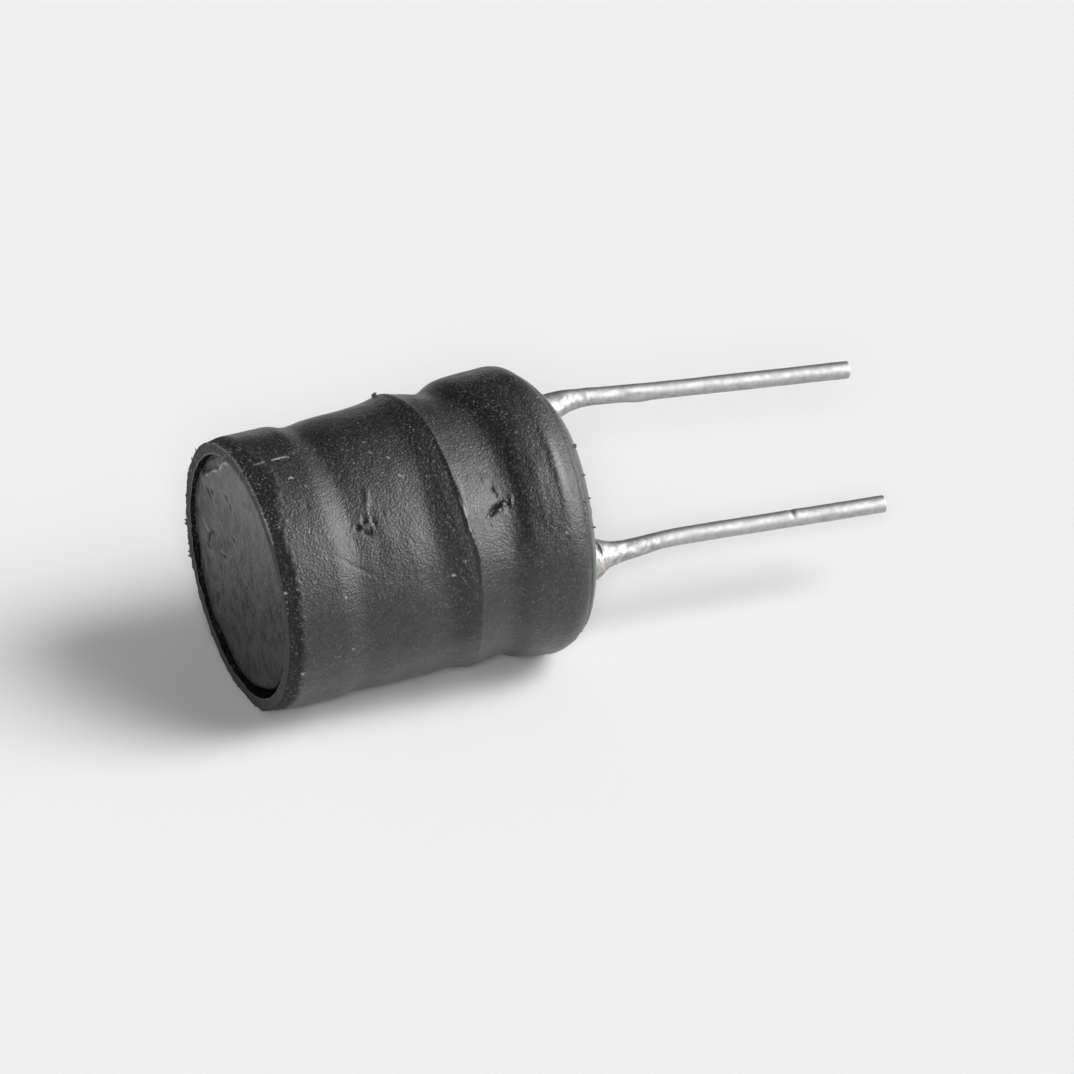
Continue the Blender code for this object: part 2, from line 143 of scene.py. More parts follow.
def blot(x, y, cx, cy, halfLength, halfWidth, turn=0.0):
    # a soft spot, 1 at its middle, whose length is turned by some degrees from x towards y
    a = math.radians(turn)
    along = (x - cx) * math.cos(a) + (y - cy) * math.sin(a)
    off = (y - cy) * math.cos(a) - (x - cx) * math.sin(a)
    return np.exp(-((along / halfLength) ** 2) - (off / halfWidth) ** 2)


def wrapped(degrees, middle=0.0):
    # the same angle within half a turn of the middle
    return (degrees - middle + 180) % 360 - 180


def growSpikes(bm, reaches, width=0.75, steps=2):
    # draws faces out into tapering spikes; reaches gives each face's number and how far it goes
    order = sorted(reaches)
    faces = [bm.faces[number] for number in order]
    for step in range(steps):
        faces = bmesh.ops.extrude_discrete_faces(bm, faces=faces)["faces"]
        for number, face in zip(order, faces):
            middle = face.calc_center_median()
            for vert in face.verts:
                vert.co = middle + (vert.co - middle) * width + reaches[number] / steps


def addPiece(name, bm, finish, nodes=(), sharpAngle=40.0):
    bmesh.ops.transform(bm, matrix=toFrame, verts=bm.verts)
    mesh = bpy.data.meshes.new(name)
    bm.to_mesh(mesh)
    bm.free()
    mesh.shade_smooth()
    mesh.set_sharp_from_angle(angle=math.radians(sharpAngle))
    mesh.materials.append(finish)
    piece = bpy.data.objects.new(name, mesh)
    bpy.context.scene.collection.objects.link(piece)
    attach(piece, "root")
    if nodes:
        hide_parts(*nodes)
    print("made", name, len(mesh.polygons), "faces")
    return piece


# Material helpers
def linear(code):
    # an sRGB hex colour as linear red, green, blue and alpha
    parts = [int(code[i : i + 2], 16) / 255 for i in (1, 3, 5)]
    return [p / 12.92 if p <= 0.04045 else ((p + 0.055) / 1.055) ** 2.4 for p in parts] + [1.0]


def perMm(size):
    # the texture scale, on coordinates in metres, that makes one cell this many millimetres
    return 1 / (size * mm)


def addNode(tree, kind, settings, sources, output=0):
    # Adds a node and gives back one of its outputs. The sources are named, or in the order of its sockets.
    # Each is another node's output, a number, a vector, or a hex colour.
    node = tree.nodes.new("ShaderNode" + kind)
    for name, value in settings.items():
        setattr(node, name, value)
    for socket, source in sources.items() if isinstance(sources, dict) else enumerate(sources):
        if isinstance(source, bpy.types.NodeSocket):
            tree.links.new(source, node.inputs[socket])
        else:
            node.inputs[socket].default_value = linear(source) if isinstance(source, str) else source
    return node.outputs[output]


def newMaterial(name):
    made = bpy.data.materials.new(name)
    made.use_nodes = True
    tree = made.node_tree
    place = addNode(tree, "TexCoord", {}, (), "Object")
    return made, tree, tree.nodes["Principled BSDF"], place


def specks(tree, place, cell, share, size):
    # round spots: the cell in mm, the share of cells that hold one, and the largest radius in cells
    distance = addNode(tree, "TexVoronoi", {}, {"Vector": place, "Scale": perMm(cell)}, "Distance")
    chance = addNode(tree, "SeparateColor", {}, (distance.node.outputs["Color"],), "Red")
    radius = addNode(tree, "MapRange", {}, (chance, 1 - share, 1.0, 0.0, size))
    inside = addNode(tree, "Math", {"operation": "SUBTRACT"}, (radius, distance))
    spot = addNode(tree, "MapRange", {}, (inside, 0.0, size * 0.25))
    strength = addNode(tree, "MapRange", {}, (chance.node.outputs["Green"], 0.0, 1.0, 0.25, 1.0))
    return addNode(tree, "Math", {"operation": "MULTIPLY"}, (spot, strength))


# Heat-shrink tubing: soot-black polyolefin, shrunk hot over the winding. It has a finely wrinkled satin skin
# that breaks the highlight into grains, a powdery rough band at the mouth, and pale dust that clings to it.
# Where a setting has four numbers, they are the levels read and the levels that they become.
sleeveFinish = {
    "dark": "#0E0E0E",
    "worn": "#252525",
    # Of the colours below, the sootiest also paints shade in front of the fold's crest, the cut grey also
    # paints light on the rim band past the rear groove, and the dust colour also paints highlights on the
    # mouth's edge and along the crest.
    "sootyAndShaded": "#0B0B0B",
    "cut": "#4E4E4E",
    "dustAndHighlight": "#A9A7A4",
    "roughness": (0.3, 0.7, 0.41, 0.31),
    "powdery": 0.85,
    "specular": 0.68,
    # The inner sheen is painted shade: it takes the inside's sheen away so that the groove looks dark.
    "innerSpecular": 0.05,
    "crumpleMatt": 0.45,
    "polish": {"specular": 0.6, "roughness": -0.08},
    "grain": 0.085,
    "pebble": 0.19,
    "cloud": 1.5,
    "cloudWeight": 0.5,
    "wear": (1.08, 1.45),
    "sootAndShade": 0.8,
    "wrinkle": (0.26, 0.13),
    "wrinkleTurn": -52.0,
    "wrinkleWeight": 0.2,
    "bump": 0.032,
    "bumpCrumpled": (0.0, 1.0, 0.3, 3.0),
    "bumpCut": (0.0, 1.0, 1.0, 0.25),
    "coarse": {"cell": 0.42, "share": 0.4, "size": 0.13},
    "fine": {"cell": 0.17, "share": 0.6, "size": 0.24},
    "fleck": (0.085, 0.60, 0.82),  # size in mm, and the noise levels where a fleck starts and is full
    "clinging": 0.025,  # how much more dust the rough band holds
    "fleckCrumpled": (0.0, 0.8, 0.5, 0.8),
    "dustCloud": (0.4, 0.6, 0.35, 1.0),
    "dustAround": (-6.0, 1.0, 1.1, 0.45),  # more on the upper side; in mm around the tube
    "scuffedAndLit": (0.36, 0.50),
}


def shrinkTube():
    s = sleeveFinish
    made, tree, shader, place = newMaterial("shrinkTube")
    crumpleAndShade, cut, dustAndHighlight, polished, along, around, inside = (
        addNode(tree, "Attribute", {"attribute_name": name}, (), "Fac")
        for name in ("crumpleAndShade", "cut", "dustAndHighlight", "polished", "along", "around", "inside")
    )
    fleckSize, *fleckLevels = s["fleck"]
    cloud, pebble, grain, fleckNoise = (
        addNode(tree, "TexNoise", {}, {"Vector": place, "Scale": perMm(size), "Detail": detail})
        for size, detail in ((s["cloud"], 3.0), (s["pebble"], 2.0), (s["grain"], 2.0), (fleckSize, 1.0))
    )
    skin = addNode(tree, "CombineXYZ", {}, (along, around))
    turn = (0, 0, math.radians(s["wrinkleTurn"]))
    drawn = {"Vector": skin, "Rotation": turn, "Scale": (*s["wrinkle"], 1.0)}
    drawn = addNode(tree, "Mapping", {"vector_type": "TEXTURE"}, drawn)
    wrinkle = {"Vector": drawn, "Scale": 1.0, "Detail": 2.0, "Distortion": 0.6}
    wrinkle = addNode(tree, "TexNoise", {}, wrinkle)

    mottle = addNode(tree, "Math", {"operation": "ADD"}, (grain, pebble))
    mottle = addNode(tree, "Math", {"operation": "MULTIPLY_ADD"}, (cloud, s["cloudWeight"], mottle))
    wear = addNode(tree, "MapRange", {}, (mottle, *s["wear"]))
    # The crumple mark also holds painted shade in front of the fold's crest, which darkens the colour here.
    sootAndShade = addNode(tree, "Math", {"operation": "MULTIPLY"}, (crumpleAndShade, s["sootAndShade"]))
    black = addNode(tree, "Mix", {"data_type": "RGBA"}, {0: wear, 6: s["dark"], 7: s["worn"]}, 2)
    black = addNode(tree, "Mix", {"data_type": "RGBA"}, {0: sootAndShade, 6: black, 7: s["sootyAndShaded"]}, 2)
    # The cut grey is the mouth's cut face, and also painted light on the rim band past the rear groove.
    grey = addNode(tree, "Mix", {"data_type": "RGBA"}, {0: cut, 6: black, 7: s["cut"]}, 2)

    spots = (specks(tree, place, **s["coarse"]), specks(tree, place, **s["fine"]))
    spots = addNode(tree, "Math", {"operation": "MAXIMUM"}, spots)
    flecks = addNode(tree, "Math", {"operation": "MULTIPLY_ADD"}, (crumpleAndShade, s["clinging"], fleckNoise))
    flecks = addNode(tree, "MapRange", {}, (flecks, *fleckLevels))
    onBand = addNode(tree, "MapRange", {}, (crumpleAndShade, *s["fleckCrumpled"]))
    flecks = addNode(tree, "Math", {"operation": "MULTIPLY"}, (flecks, onBand))
    settled = addNode(tree, "Math", {"operation": "MAXIMUM"}, (spots, flecks))
    for share in ((cloud, *s["dustCloud"]), (around, *s["dustAround"])):
        share = addNode(tree, "MapRange", {}, share)
        settled = addNode(tree, "Math", {"operation": "MULTIPLY"}, (settled, share))
    # This mark holds scuffs, and painted highlights on the mouth's edge and along the fold's crest.
    scratchedAndLit = addNode(tree, "MapRange", {}, (pebble, *s["scuffedAndLit"]))
    scratchedAndLit = addNode(tree, "Math", {"operation": "MULTIPLY"}, (dustAndHighlight, scratchedAndLit))
    dustyAndLit = addNode(tree, "Math", {"operation": "MAXIMUM"}, (settled, scratchedAndLit))
    colour = addNode(tree, "Mix", {"data_type": "RGBA"}, {0: dustyAndLit, 6: grey, 7: s["dustAndHighlight"]}, 2)
    tree.links.new(colour, shader.inputs["Base Color"])

    satin = addNode(tree, "MapRange", {}, (cloud, *s["roughness"]))
    smoothed = (polished, s["polish"]["roughness"], satin)
    satin = addNode(tree, "Math", {"operation": "MULTIPLY_ADD"}, smoothed)
    rough = addNode(tree, "Mix", {}, {0: crumpleAndShade, 2: satin, 3: s["powdery"]})
    tree.links.new(rough, shader.inputs["Roughness"])
    # Inside the tube the sheen is taken down, as painted shade, so that the mouth's groove looks dark.
    mattAndShaded = addNode(tree, "Math", {"operation": "MULTIPLY"}, (crumpleAndShade, s["crumpleMatt"]))
    mattAndShaded = addNode(tree, "Math", {"operation": "MAXIMUM"}, (inside, mattAndShaded))
    sheen = addNode(tree, "MapRange", {}, (mattAndShaded, 0.0, 1.0, s["specular"], s["innerSpecular"]))
    shown = (polished, s["polish"]["specular"], sheen)
    sheen = addNode(tree, "Math", {"operation": "MULTIPLY_ADD"}, shown)
    tree.links.new(sheen, shader.inputs["Specular IOR Level"])

    fineGrain = addNode(tree, "Math", {"operation": "MULTIPLY_ADD"}, (wrinkle, s["wrinkleWeight"], grain))
    depth = addNode(tree, "MapRange", {}, (crumpleAndShade, *s["bumpCrumpled"]))
    uneven = addNode(tree, "Math", {"operation": "MULTIPLY_ADD"}, (pebble, depth, fineGrain))
    calm = addNode(tree, "MapRange", {}, (cut, *s["bumpCut"]))
    height = addNode(tree, "Math", {"operation": "MULTIPLY"}, (uneven, calm))
    bump = addNode(tree, "Bump", {}, {"Height": height, "Strength": 1.0, "Distance": s["bump"] * mm})
    tree.links.new(bump, shader.inputs["Normal"])
    return made


# Sintered ferrite, its end face ground flat: hard, dull charcoal with fine grinding lines and small pits.
ferriteFinish = {
    "dark": "#141414",
    "light": "#2A2A2A",
    # The darkest colour below is painted shade in the face's hollows. The palest also carries painted
    # highlights and painted light.
    "shadedPit": "#060606",
    "paleAndLit": "#B4B4B4",
    "roughness": (0.30, 0.46),
    "specular": (0.18, 0.52),
    "pitShade": 0.25,  # the share of its sheen that a pit keeps
    "grit": 0.14,
    "gritLevels": (0.3, 0.7),
    "line": (0.12, 0.4),
    "lineWeight": 0.3,
    "patch": 0.6,
    "tone": (0.98, 1.26),
    "bump": 0.04,
    "pitDepth": -3.0,
    "pits": {"cell": 0.34, "share": 0.6, "size": 0.16},
    "flecks": {"cell": 0.26, "share": 0.7, "size": 0.2},
    "fleckWeight": 0.5,
}


def groundFerrite():
    s = ferriteFinish
    made, tree, shader, place = newMaterial("groundFerrite")
    paintedPitShade, paleAndLit = (
        addNode(tree, "Attribute", {"attribute_name": name}, (), "Fac") for name in ("paintedPitShade", "paleAndLit")
    )
    lineScale = [perMm(size) for size in (s["line"][0], s["line"][0], s["line"][1])]
    lines = addNode(tree, "Mapping", {}, {"Vector": place, "Scale": lineScale})
    line = addNode(tree, "TexNoise", {}, {"Vector": lines, "Scale": 1.0, "Detail": 2.0})
    grit = addNode(tree, "TexNoise", {}, {"Vector": place, "Scale": perMm(s["grit"]), "Detail": 4.0})
    patch = addNode(tree, "TexNoise", {}, {"Vector": place, "Scale": perMm(s["patch"]), "Detail": 3.0})
    tone = addNode(tree, "Math", {"operation": "MULTIPLY_ADD"}, (line, s["lineWeight"], patch))
    tone = addNode(tree, "Math", {"operation": "ADD"}, (tone, grit))
    pale = addNode(tree, "MapRange", {}, (tone, *s["tone"]))
    colour = addNode(tree, "Mix", {"data_type": "RGBA"}, {0: pale, 6: s["dark"], 7: s["light"]}, 2)
    holes = specks(tree, place, **s["pits"])
    # Pits are painted dark, as painted shade.
    hollow = addNode(tree, "Math", {"operation": "MAXIMUM"}, (paintedPitShade, holes))
    colour = addNode(tree, "Mix", {"data_type": "RGBA"}, {0: hollow, 6: colour, 7: s["shadedPit"]}, 2)
    flecks = (specks(tree, place, **s["flecks"]), s["fleckWeight"])
    flecks = addNode(tree, "Math", {"operation": "MULTIPLY"}, flecks)
    # The pale colour holds pale specks, and painted highlights and painted light.
    paleAndLit = addNode(tree, "Math", {"operation": "MAXIMUM"}, (paleAndLit, flecks))
    colour = addNode(tree, "Mix", {"data_type": "RGBA"}, {0: paleAndLit, 6: colour, 7: s["paleAndLit"]}, 2)
    tree.links.new(colour, shader.inputs["Base Color"])

    shine = addNode(tree, "MapRange", {}, (tone, *s["tone"], *s["specular"]))
    shade = addNode(tree, "MapRange", {}, (hollow, 0.0, 1.0, 1.0, s["pitShade"]))
    sheen = addNode(tree, "Math", {"operation": "MULTIPLY"}, (shine, shade))
    tree.links.new(sheen, shader.inputs["Specular IOR Level"])
    rough = addNode(tree, "MapRange", {}, (grit, *s["gritLevels"], *s["roughness"]))
    tree.links.new(rough, shader.inputs["Roughness"])
    surface = addNode(tree, "Math", {"operation": "MULTIPLY_ADD"}, (line, s["lineWeight"], grit))
    height = addNode(tree, "Math", {"operation": "MULTIPLY_ADD"}, (holes, s["pitDepth"], surface))
    bump = addNode(tree, "Bump", {}, {"Height": height, "Strength": 1.0, "Distance": s["bump"] * mm})
    tree.links.new(bump, shader.inputs["Normal"])
    return made


# Hot-dipped tin on copper-clad wire: satin and bright where it flowed, mottled and dull where it was rubbed.
tinFinish = {
    "bright": "#B4B4B3",
    "dull": "#A2A2A1",
    "roughness": (0.54, 0.46),  # of the dull and the bright parts
    "mottle": (0.21, 0.34, 0.66),  # size in mm, and the noise levels of the dull and the bright parts
    "grain": 0.06,
    "grainWeight": 0.6,
    "bump": 0.0015,
    "copper": "#D09C90",  # where copper shows through
}

# Tin solder: silvery and bright, frozen with a fine crystalline grain. Copper shows through in one place.
solderFinish = {
    "bright": "#B6B6B5",
    "dull": "#8E8E8D",
    "roughness": (0.56, 0.44),
    "mottle": (0.17, 0.34, 0.66),
    "grain": 0.07,
    "grainWeight": 0.6,
    "bump": 0.004,
    "copper": "#D09C90",
}


def tinCoat(name, s):
    made, tree, shader, place = newMaterial(name)
    size, *levels = s["mottle"]
    mottle = addNode(tree, "TexNoise", {}, {"Vector": place, "Scale": perMm(size), "Detail": 3.0})
    grain = addNode(tree, "TexNoise", {}, {"Vector": place, "Scale": perMm(s["grain"]), "Detail": 2.0})
    share = addNode(tree, "MapRange", {}, (mottle, *levels))
    silver = addNode(tree, "Mix", {"data_type": "RGBA"}, {0: share, 6: s["dull"], 7: s["bright"]}, 2)
    copper = addNode(tree, "Attribute", {"attribute_name": "copper"}, (), "Fac")
    colour = addNode(tree, "Mix", {"data_type": "RGBA"}, {0: copper, 6: silver, 7: s["copper"]}, 2)
    tree.links.new(colour, shader.inputs["Base Color"])
    shader.inputs["Metallic"].default_value = 1.0
    rough = addNode(tree, "MapRange", {}, (share, 0.0, 1.0, *s["roughness"]))
    tree.links.new(rough, shader.inputs["Roughness"])
    height = addNode(tree, "Math", {"operation": "MULTIPLY_ADD"}, (grain, s["grainWeight"], mottle))
    bump = addNode(tree, "Bump", {}, {"Height": height, "Strength": 1.0, "Distance": s["bump"] * mm})
    tree.links.new(bump, shader.inputs["Normal"])
    return made


# Copper wire under a clear red-brown enamel.
enamelFinish = {"deep": "#5E2A14", "light": "#8A4A26", "metallic": 0.6, "roughness": 0.3, "streak": 0.5}


def enamelledCopper():
    s = enamelFinish
    made, tree, shader, place = newMaterial("enamelledCopper")
    streak = addNode(tree, "TexNoise", {}, {"Vector": place, "Scale": perMm(s["streak"]), "Detail": 3.0})
    colour = addNode(tree, "Mix", {"data_type": "RGBA"}, {0: streak, 6: s["deep"], 7: s["light"]}, 2)
    tree.links.new(colour, shader.inputs["Base Color"])
    shader.inputs["Metallic"].default_value = s["metallic"]
    shader.inputs["Roughness"].default_value = s["roughness"]
    return made


# Cured epoxy in the lead holes: amber, with small bubbles.
epoxyFinish = {"deep": "#6E5A2E", "light": "#9A8350", "roughness": 0.35, "bubble": 0.15, "bump": 0.01}


def curedEpoxy():
    s = epoxyFinish
    made, tree, shader, place = newMaterial("curedEpoxy")
    bubble = addNode(tree, "TexVoronoi", {}, {"Vector": place, "Scale": perMm(s["bubble"])}, "Distance")
    colour = addNode(tree, "Mix", {"data_type": "RGBA"}, {0: bubble, 6: s["deep"], 7: s["light"]}, 2)
    tree.links.new(colour, shader.inputs["Base Color"])
    shader.inputs["Roughness"].default_value = s["roughness"]
    bump = addNode(tree, "Bump", {}, {"Height": bubble, "Strength": 0.6, "Distance": s["bump"] * mm})
    tree.links.new(bump, shader.inputs["Normal"])
    return made


tubeBlack = shrinkTube()
ferriteGrey = groundFerrite()
tin = tinCoat("hotDippedTin", tinFinish)
solder = tinCoat("tinSolder", solderFinish)
enamel = enamelledCopper()
epoxy = curedEpoxy()
print("finishes ready")

# Shrink sleeve
# Its outer surface is given by lines that run from the mouth to the rear shoulder, each at one side angle.
# Every line has the same stations, as (from the mouth, radius): the mouth, the end of its band, the edge of
# the front flange, the waist behind it, the rise onto the winding, the winding, the foot of the fold,
# its crest, the slope behind it, the dip, the rear flange, the bulge and the start of the shoulder.
sleeve = {
    "wall": 0.45,
    "gripRadius": 5.06,
    "segments": 384,
    "straightRings": 196,
    "shoulderRings": 28,
    "innerRings": 10,
    "lines": {
        -90: (
            (0, 5.0), (0.6, 5.085), (2.1, 5.084), (2.95, 4.893), (3.83, 4.985), (5.2, 5.02), (6.1, 5.09),
            (6.87, 5.23), (7.3, 5.15), (8.24, 4.953), (9.1, 5.28), (10.1, 5.355), (10.9, 5.375),
        ),
        -35: (
            (0, 4.98), (0.9, 5.085), (2.1, 5.10), (3.1, 4.91), (3.85, 4.99), (5.1, 5.04), (6.05, 5.02),
            (7.22, 5.25), (7.8, 5.15), (9.05, 4.97), (9.9, 5.26), (10.4, 5.36), (11.0, 5.385),
        ),
        0: (
            (0, 4.98), (0.75, 5.085), (2.1, 5.10), (3.1, 4.92), (3.85, 4.99), (5.0, 5.04), (5.95, 4.99),
            (7.3, 5.27), (7.8, 5.18), (9.0, 4.97), (9.85, 5.26), (10.4, 5.36), (11.0, 5.385),
        ),
        16: (
            (0, 4.99), (0.75, 5.085), (2.1, 5.105), (3.1, 4.94), (3.9, 5.0), (5.1, 5.04), (6.05, 4.98),
            (7.5, 5.25), (7.95, 5.17), (8.95, 4.96), (9.75, 5.26), (10.3, 5.36), (11.0, 5.385),
        ),
        50: (
            (0, 5.0), (0.75, 5.09), (2.15, 5.12), (3.15, 4.98), (4.0, 5.03), (5.2, 5.05), (6.35, 4.95),
            (7.45, 5.27), (7.95, 5.15), (8.85, 4.93), (9.6, 5.27), (10.3, 5.36), (11.0, 5.39),
        ),
        85: (
            (0, 5.01), (0.75, 5.11), (2.2, 5.145), (3.2, 5.02), (4.1, 5.06), (5.3, 5.06), (6.9, 5.0),
            (7.8, 5.12), (8.3, 5.07), (9.2, 4.98), (9.85, 5.23), (10.4, 5.34), (11.0, 5.4),
        ),
        122: (
            (0, 4.98), (0.75, 5.06), (2.1, 5.06), (3.1, 4.93), (4.0, 5.0), (5.3, 5.02), (6.8, 5.0),
            (7.75, 5.07), (8.2, 5.04), (9.1, 4.96), (9.8, 5.28), (10.4, 5.36), (11.05, 5.39),
        ),
        200: (
            (0, 5.0), (0.75, 5.06), (2.1, 5.06), (2.9, 4.9), (3.9, 4.98), (5.3, 5.0), (6.4, 5.03),
            (7.3, 5.17), (7.8, 5.08), (8.75, 4.91), (9.7, 5.33), (10.3, 5.38), (11.05, 5.39),
        ),
    },
    "bandEnd": 0.66,  # the rough band at the mouth ends about here, softly
    "bandSoft": 0.24,
    "bandTongue": (-40.0, 15.0, 0.45),  # where it reaches further: side angle, half angle, how far
    "bandWaver": (0.9, 4.0, 0.12),  # lumps: their size in mm, their seed and their height
    "bandRagged": (0.22, 5.5, 0.13),
    "crestAt": 7,  # the station of the fold's crest
    "crest": (0.09, 0.09, 0.015, 0.30),  # the ridge's height and half width, and its groove's
    "grooveBack": 1.5,  # from the ridge to its groove, in the groove's half widths
    "crestStrong": (-2.0, 32.0, 0.35),  # side angle and half angle of its sharp stretch, its share elsewhere
    "crestFootShade": (0.6, 0.62, 0.5),  # painted shade in front of the ridge, which also dulls the skin there: how strong, how far from it, half width
    "crestFootShadeHalf": 50.0,  # the half angle of that painted shade
    "shoulderLength": 1.3,
    "shoulderDepth": 1.18,
    "rimTurn": 80.0,
    "rimGroove": (1.5, 0.07, 0.045),  # how far round the shoulder, its half width, its depth
    "paintedRimLight": (0.06, 0.9),  # painted light on the rim band past that groove, in the cut grey: how soft it starts, and its share
    "mouthCut": 0.8,
    "bulge": (10.6, -0.5, 0.75, 2.2),  # wrinkled skin: its middle and half sizes in mm, along and around
    "bulgeCrumple": 0.35,
    "wavy": ((1.3, 3.0, 0.02), (0.45, 8.0, 0.008)),
    "rough": (0.2, 9.0, 0.004),
    "roughMore": 0.012,  # added to that height on the band and the bulge
    "ragged": ((0.5, 5.0, 0.03), (0.17, 6.0, 0.03)),
    "endWaves": ((-24.0, 30.0, 0.12), (-70.0, 24.0, -0.20)),  # side angle, half angle, how much further
    "paintedMouthHighlight": (-48.0, 40.0, 0.55),  # a painted highlight on the mouth's outer edge: side angle, half angle, share
    "underside": 270.0,
    "flatHalf": 10.0,  # the tube has settled flat this far each way from its underside
}
# Dents and lumps on the skin: (from the mouth, side angle), half sizes in mm, turn, and height
skinMarks = (
    ((3.50, -9.5), (0.22, 0.06), -25, -0.10),
    ((3.62, -11.2), (0.05, 0.09), 10, -0.08),
    ((3.33, -7.9), (0.10, 0.12), 30, -0.12),
    ((3.60, -5.2), (0.15, 0.07), 30, -0.14),
    ((3.46, -9.2), (0.06, 0.10), 0, 0.07),
    ((3.95, -8.6), (0.06, 0.16), -10, -0.07),
    ((3.75, -6.0), (0.10, 0.06), -40, -0.07),
    ((3.05, -9.6), (0.14, 0.045), -32, -0.06),
    ((3.94, -14.4), (0.06, 0.06), 0, -0.06),
    ((4.35, -11.5), (0.05, 0.06), 0, -0.04),
    ((3.08, -2.3), (0.06, 0.05), 0, -0.05),
    ((2.72, -1.6), (0.05, 0.05), 0, -0.05),
    ((2.55, -1.6), (0.05, 0.05), 0, -0.04),
    ((5.20, 3.5), (0.06, 0.05), 0, -0.05),
    ((1.67, -21.7), (0.06, 0.06), 0, -0.06),
    ((3.92, -17.6), (0.09, 0.34), 14, 0.05),
    ((4.02, -22.0), (0.12, 0.22), 10, 0.03),
    ((3.85, 4.0), (0.25, 0.9), 6, -0.03),
    ((8.50, -2.0), (0.40, 0.075), -35, -0.20),
    ((8.80, -1.9), (0.08, 0.07), 0, 0.10),
    ((8.95, -3.7), (0.11, 0.07), -30, 0.13),
    ((9.22, -4.6), (0.05, 0.17), 18, 0.08),
    ((9.08, -2.8), (0.06, 0.14), 20, -0.07),
    ((8.63, -10.6), (0.07, 0.22), 6, -0.07),
    ((8.70, -7.6), (0.06, 0.10), 0, -0.06),
    ((8.20, 3.8), (0.05, 0.06), 0, -0.05),
    ((8.45, -15.5), (0.10, 0.14), 0, 0.035),
    ((9.40, -6.0), (0.20, 2.0), 3, -0.04),
    ((2.75, 6.5), (0.60, 0.05), 38, -0.03),
    ((3.4, 12.0), (0.35, 0.05), 30, -0.02),
    ((2.0, -26.0), (0.5, 0.8), 0, 0.02),
    ((4.9, -4.0), (0.35, 0.5), 30, -0.025),
    ((5.6, 20.0), (0.6, 0.4), 60, -0.02),
    ((1.5, 30.0), (0.5, 0.4), 20, -0.02),
    ((10.3, -12.0), (0.25, 0.5), 30, 0.03),
    ((11.08, -12.0), (0.13, 1.3), 0, 0.05),
    ((11.56, -12.0), (0.14, 1.6), 0, -0.04),
    ((10.1, 8.0), (0.3, 0.5), -20, -0.03),
    ((0.0, -127), (0.06, 0.12), 0, 0.07),
    ((0.0, -146), (0.05, 0.16), 0, 0.05),
    ((0.0, -152), (0.10, 0.17), 0, 0.13),
    ((0.0, -159), (0.06, 0.14), 0, 0.06),
    ((0.0, -166), (0.10, 0.16), 0, 0.17),
    ((0.0, -171), (0.05, 0.12), 0, 0.07),
    ((0.0, 177), (0.07, 0.16), 0, 0.10),
    ((0.0, 158), (0.05, 0.14), 0, 0.05),
    ((0.0, 140), (0.06, 0.18), 0, 0.06),
    ((0.0, 100), (0.06, 0.20), 0, 0.05),
)
# Pale scuffs, and painted highlights along the fold's crest: (from the mouth, side angle), half sizes in mm,
# and turn
scuffsAndHighlights = (
    ((0.75, -48.2), (0.30, 0.035), 0),
    ((1.55, -48.6), (0.45, 0.035), -2),
    ((2.02, -49.0), (0.20, 0.03), -6),
    ((1.88, -30.3), (0.11, 0.03), -12),
    ((1.53, -36.3), (0.10, 0.03), -10),
    ((3.91, -16.5), (0.045, 0.05), 0),
    ((5.45, -26.1), (0.045, 0.045), 0),
    ((5.32, -35.5), (0.04, 0.04), 0),
    ((4.80, -40.2), (0.04, 0.05), 0),
    ((4.78, -46.8), (0.05, 0.04), 30),
    ((6.23, -35.0), (0.03, 0.03), 0),
    ((2.49, 44.4), (0.055, 0.055), 0),
    ((2.29, 18.9), (0.04, 0.04), 0),
    ((1.32, 41.0), (0.04, 0.03), 0),
    ((0.06, 11.5), (0.06, 0.06), 0),
    ((10.92, 13.7), (0.06, 0.04), 30),
    ((0.55, 52.0), (0.09, 0.08), 40),
    ((8.72, -1.6), (0.06, 0.05), 0),
    ((8.93, -3.7), (0.06, 0.05), 0),
    ((6.55, 21.0), (0.12, 0.02), 10),
    # These last two are painted highlights along the fold's crest.
    ((7.26, -10.0), (0.018, 0.34), 2),
    ((7.29, -4.0), (0.02, 0.26), 0),
)
# Spots that handling has polished: (from the mouth, side angle), half sizes in mm, turn, and how much
polishedSpots = (
    ((11.25, -13.0), (0.15, 1.1), 0, 1.0),
    ((7.36, -3.0), (0.07, 1.1), 4, 0.9),
    ((10.75, -8.0), (0.5, 0.8), 0, 0.6),
    ((3.75, -19.0), (0.22, 0.35), 0, 0.5),
)
# Burrs of torn plastic: (from the mouth, side angle), and how far each reaches along and outwards
burrs = (
    ((0.0, -151), (-0.03, 0.06)),
    ((0.0, -153), (-0.04, 0.08)),
    ((0.0, -165), (-0.03, 0.08)),
    ((0.0, -167), (-0.04, 0.10)),
    ((6.66, -90.9), (0.03, 0.20)),
    ((6.66, -90.0), (0.04, 0.24)),
    ((6.72, -90.9), (0.02, 0.22)),
    ((6.72, -90.0), (0.05, 0.27)),
    ((6.72, -89.1), (0.06, 0.18)),
    ((6.78, -90.0), (0.06, 0.24)),
    ((12.2, -22), (0.10, 0.05)),
    ((12.2, -21), (0.08, 0.04)),
    ((12.2, -8), (0.09, 0.05)),
    ((12.2, 3), (0.08, 0.05)),
    ((12.2, 16), (0.08, 0.05)),
    ((9.12, -3.4), (0.05, 0.08)),
)
# Fuzz along both edges
fuzz = {
    "seed": 7,
    "rows": ((0.0, 110), (11.9, 50)),  # from the mouth, and how many burrs
    "strip": 0.06,  # the width of the strip that they stand in
    "radius": 5.0,
    "lean": 0.04,
    "reach": (0.005, 0.03),
}


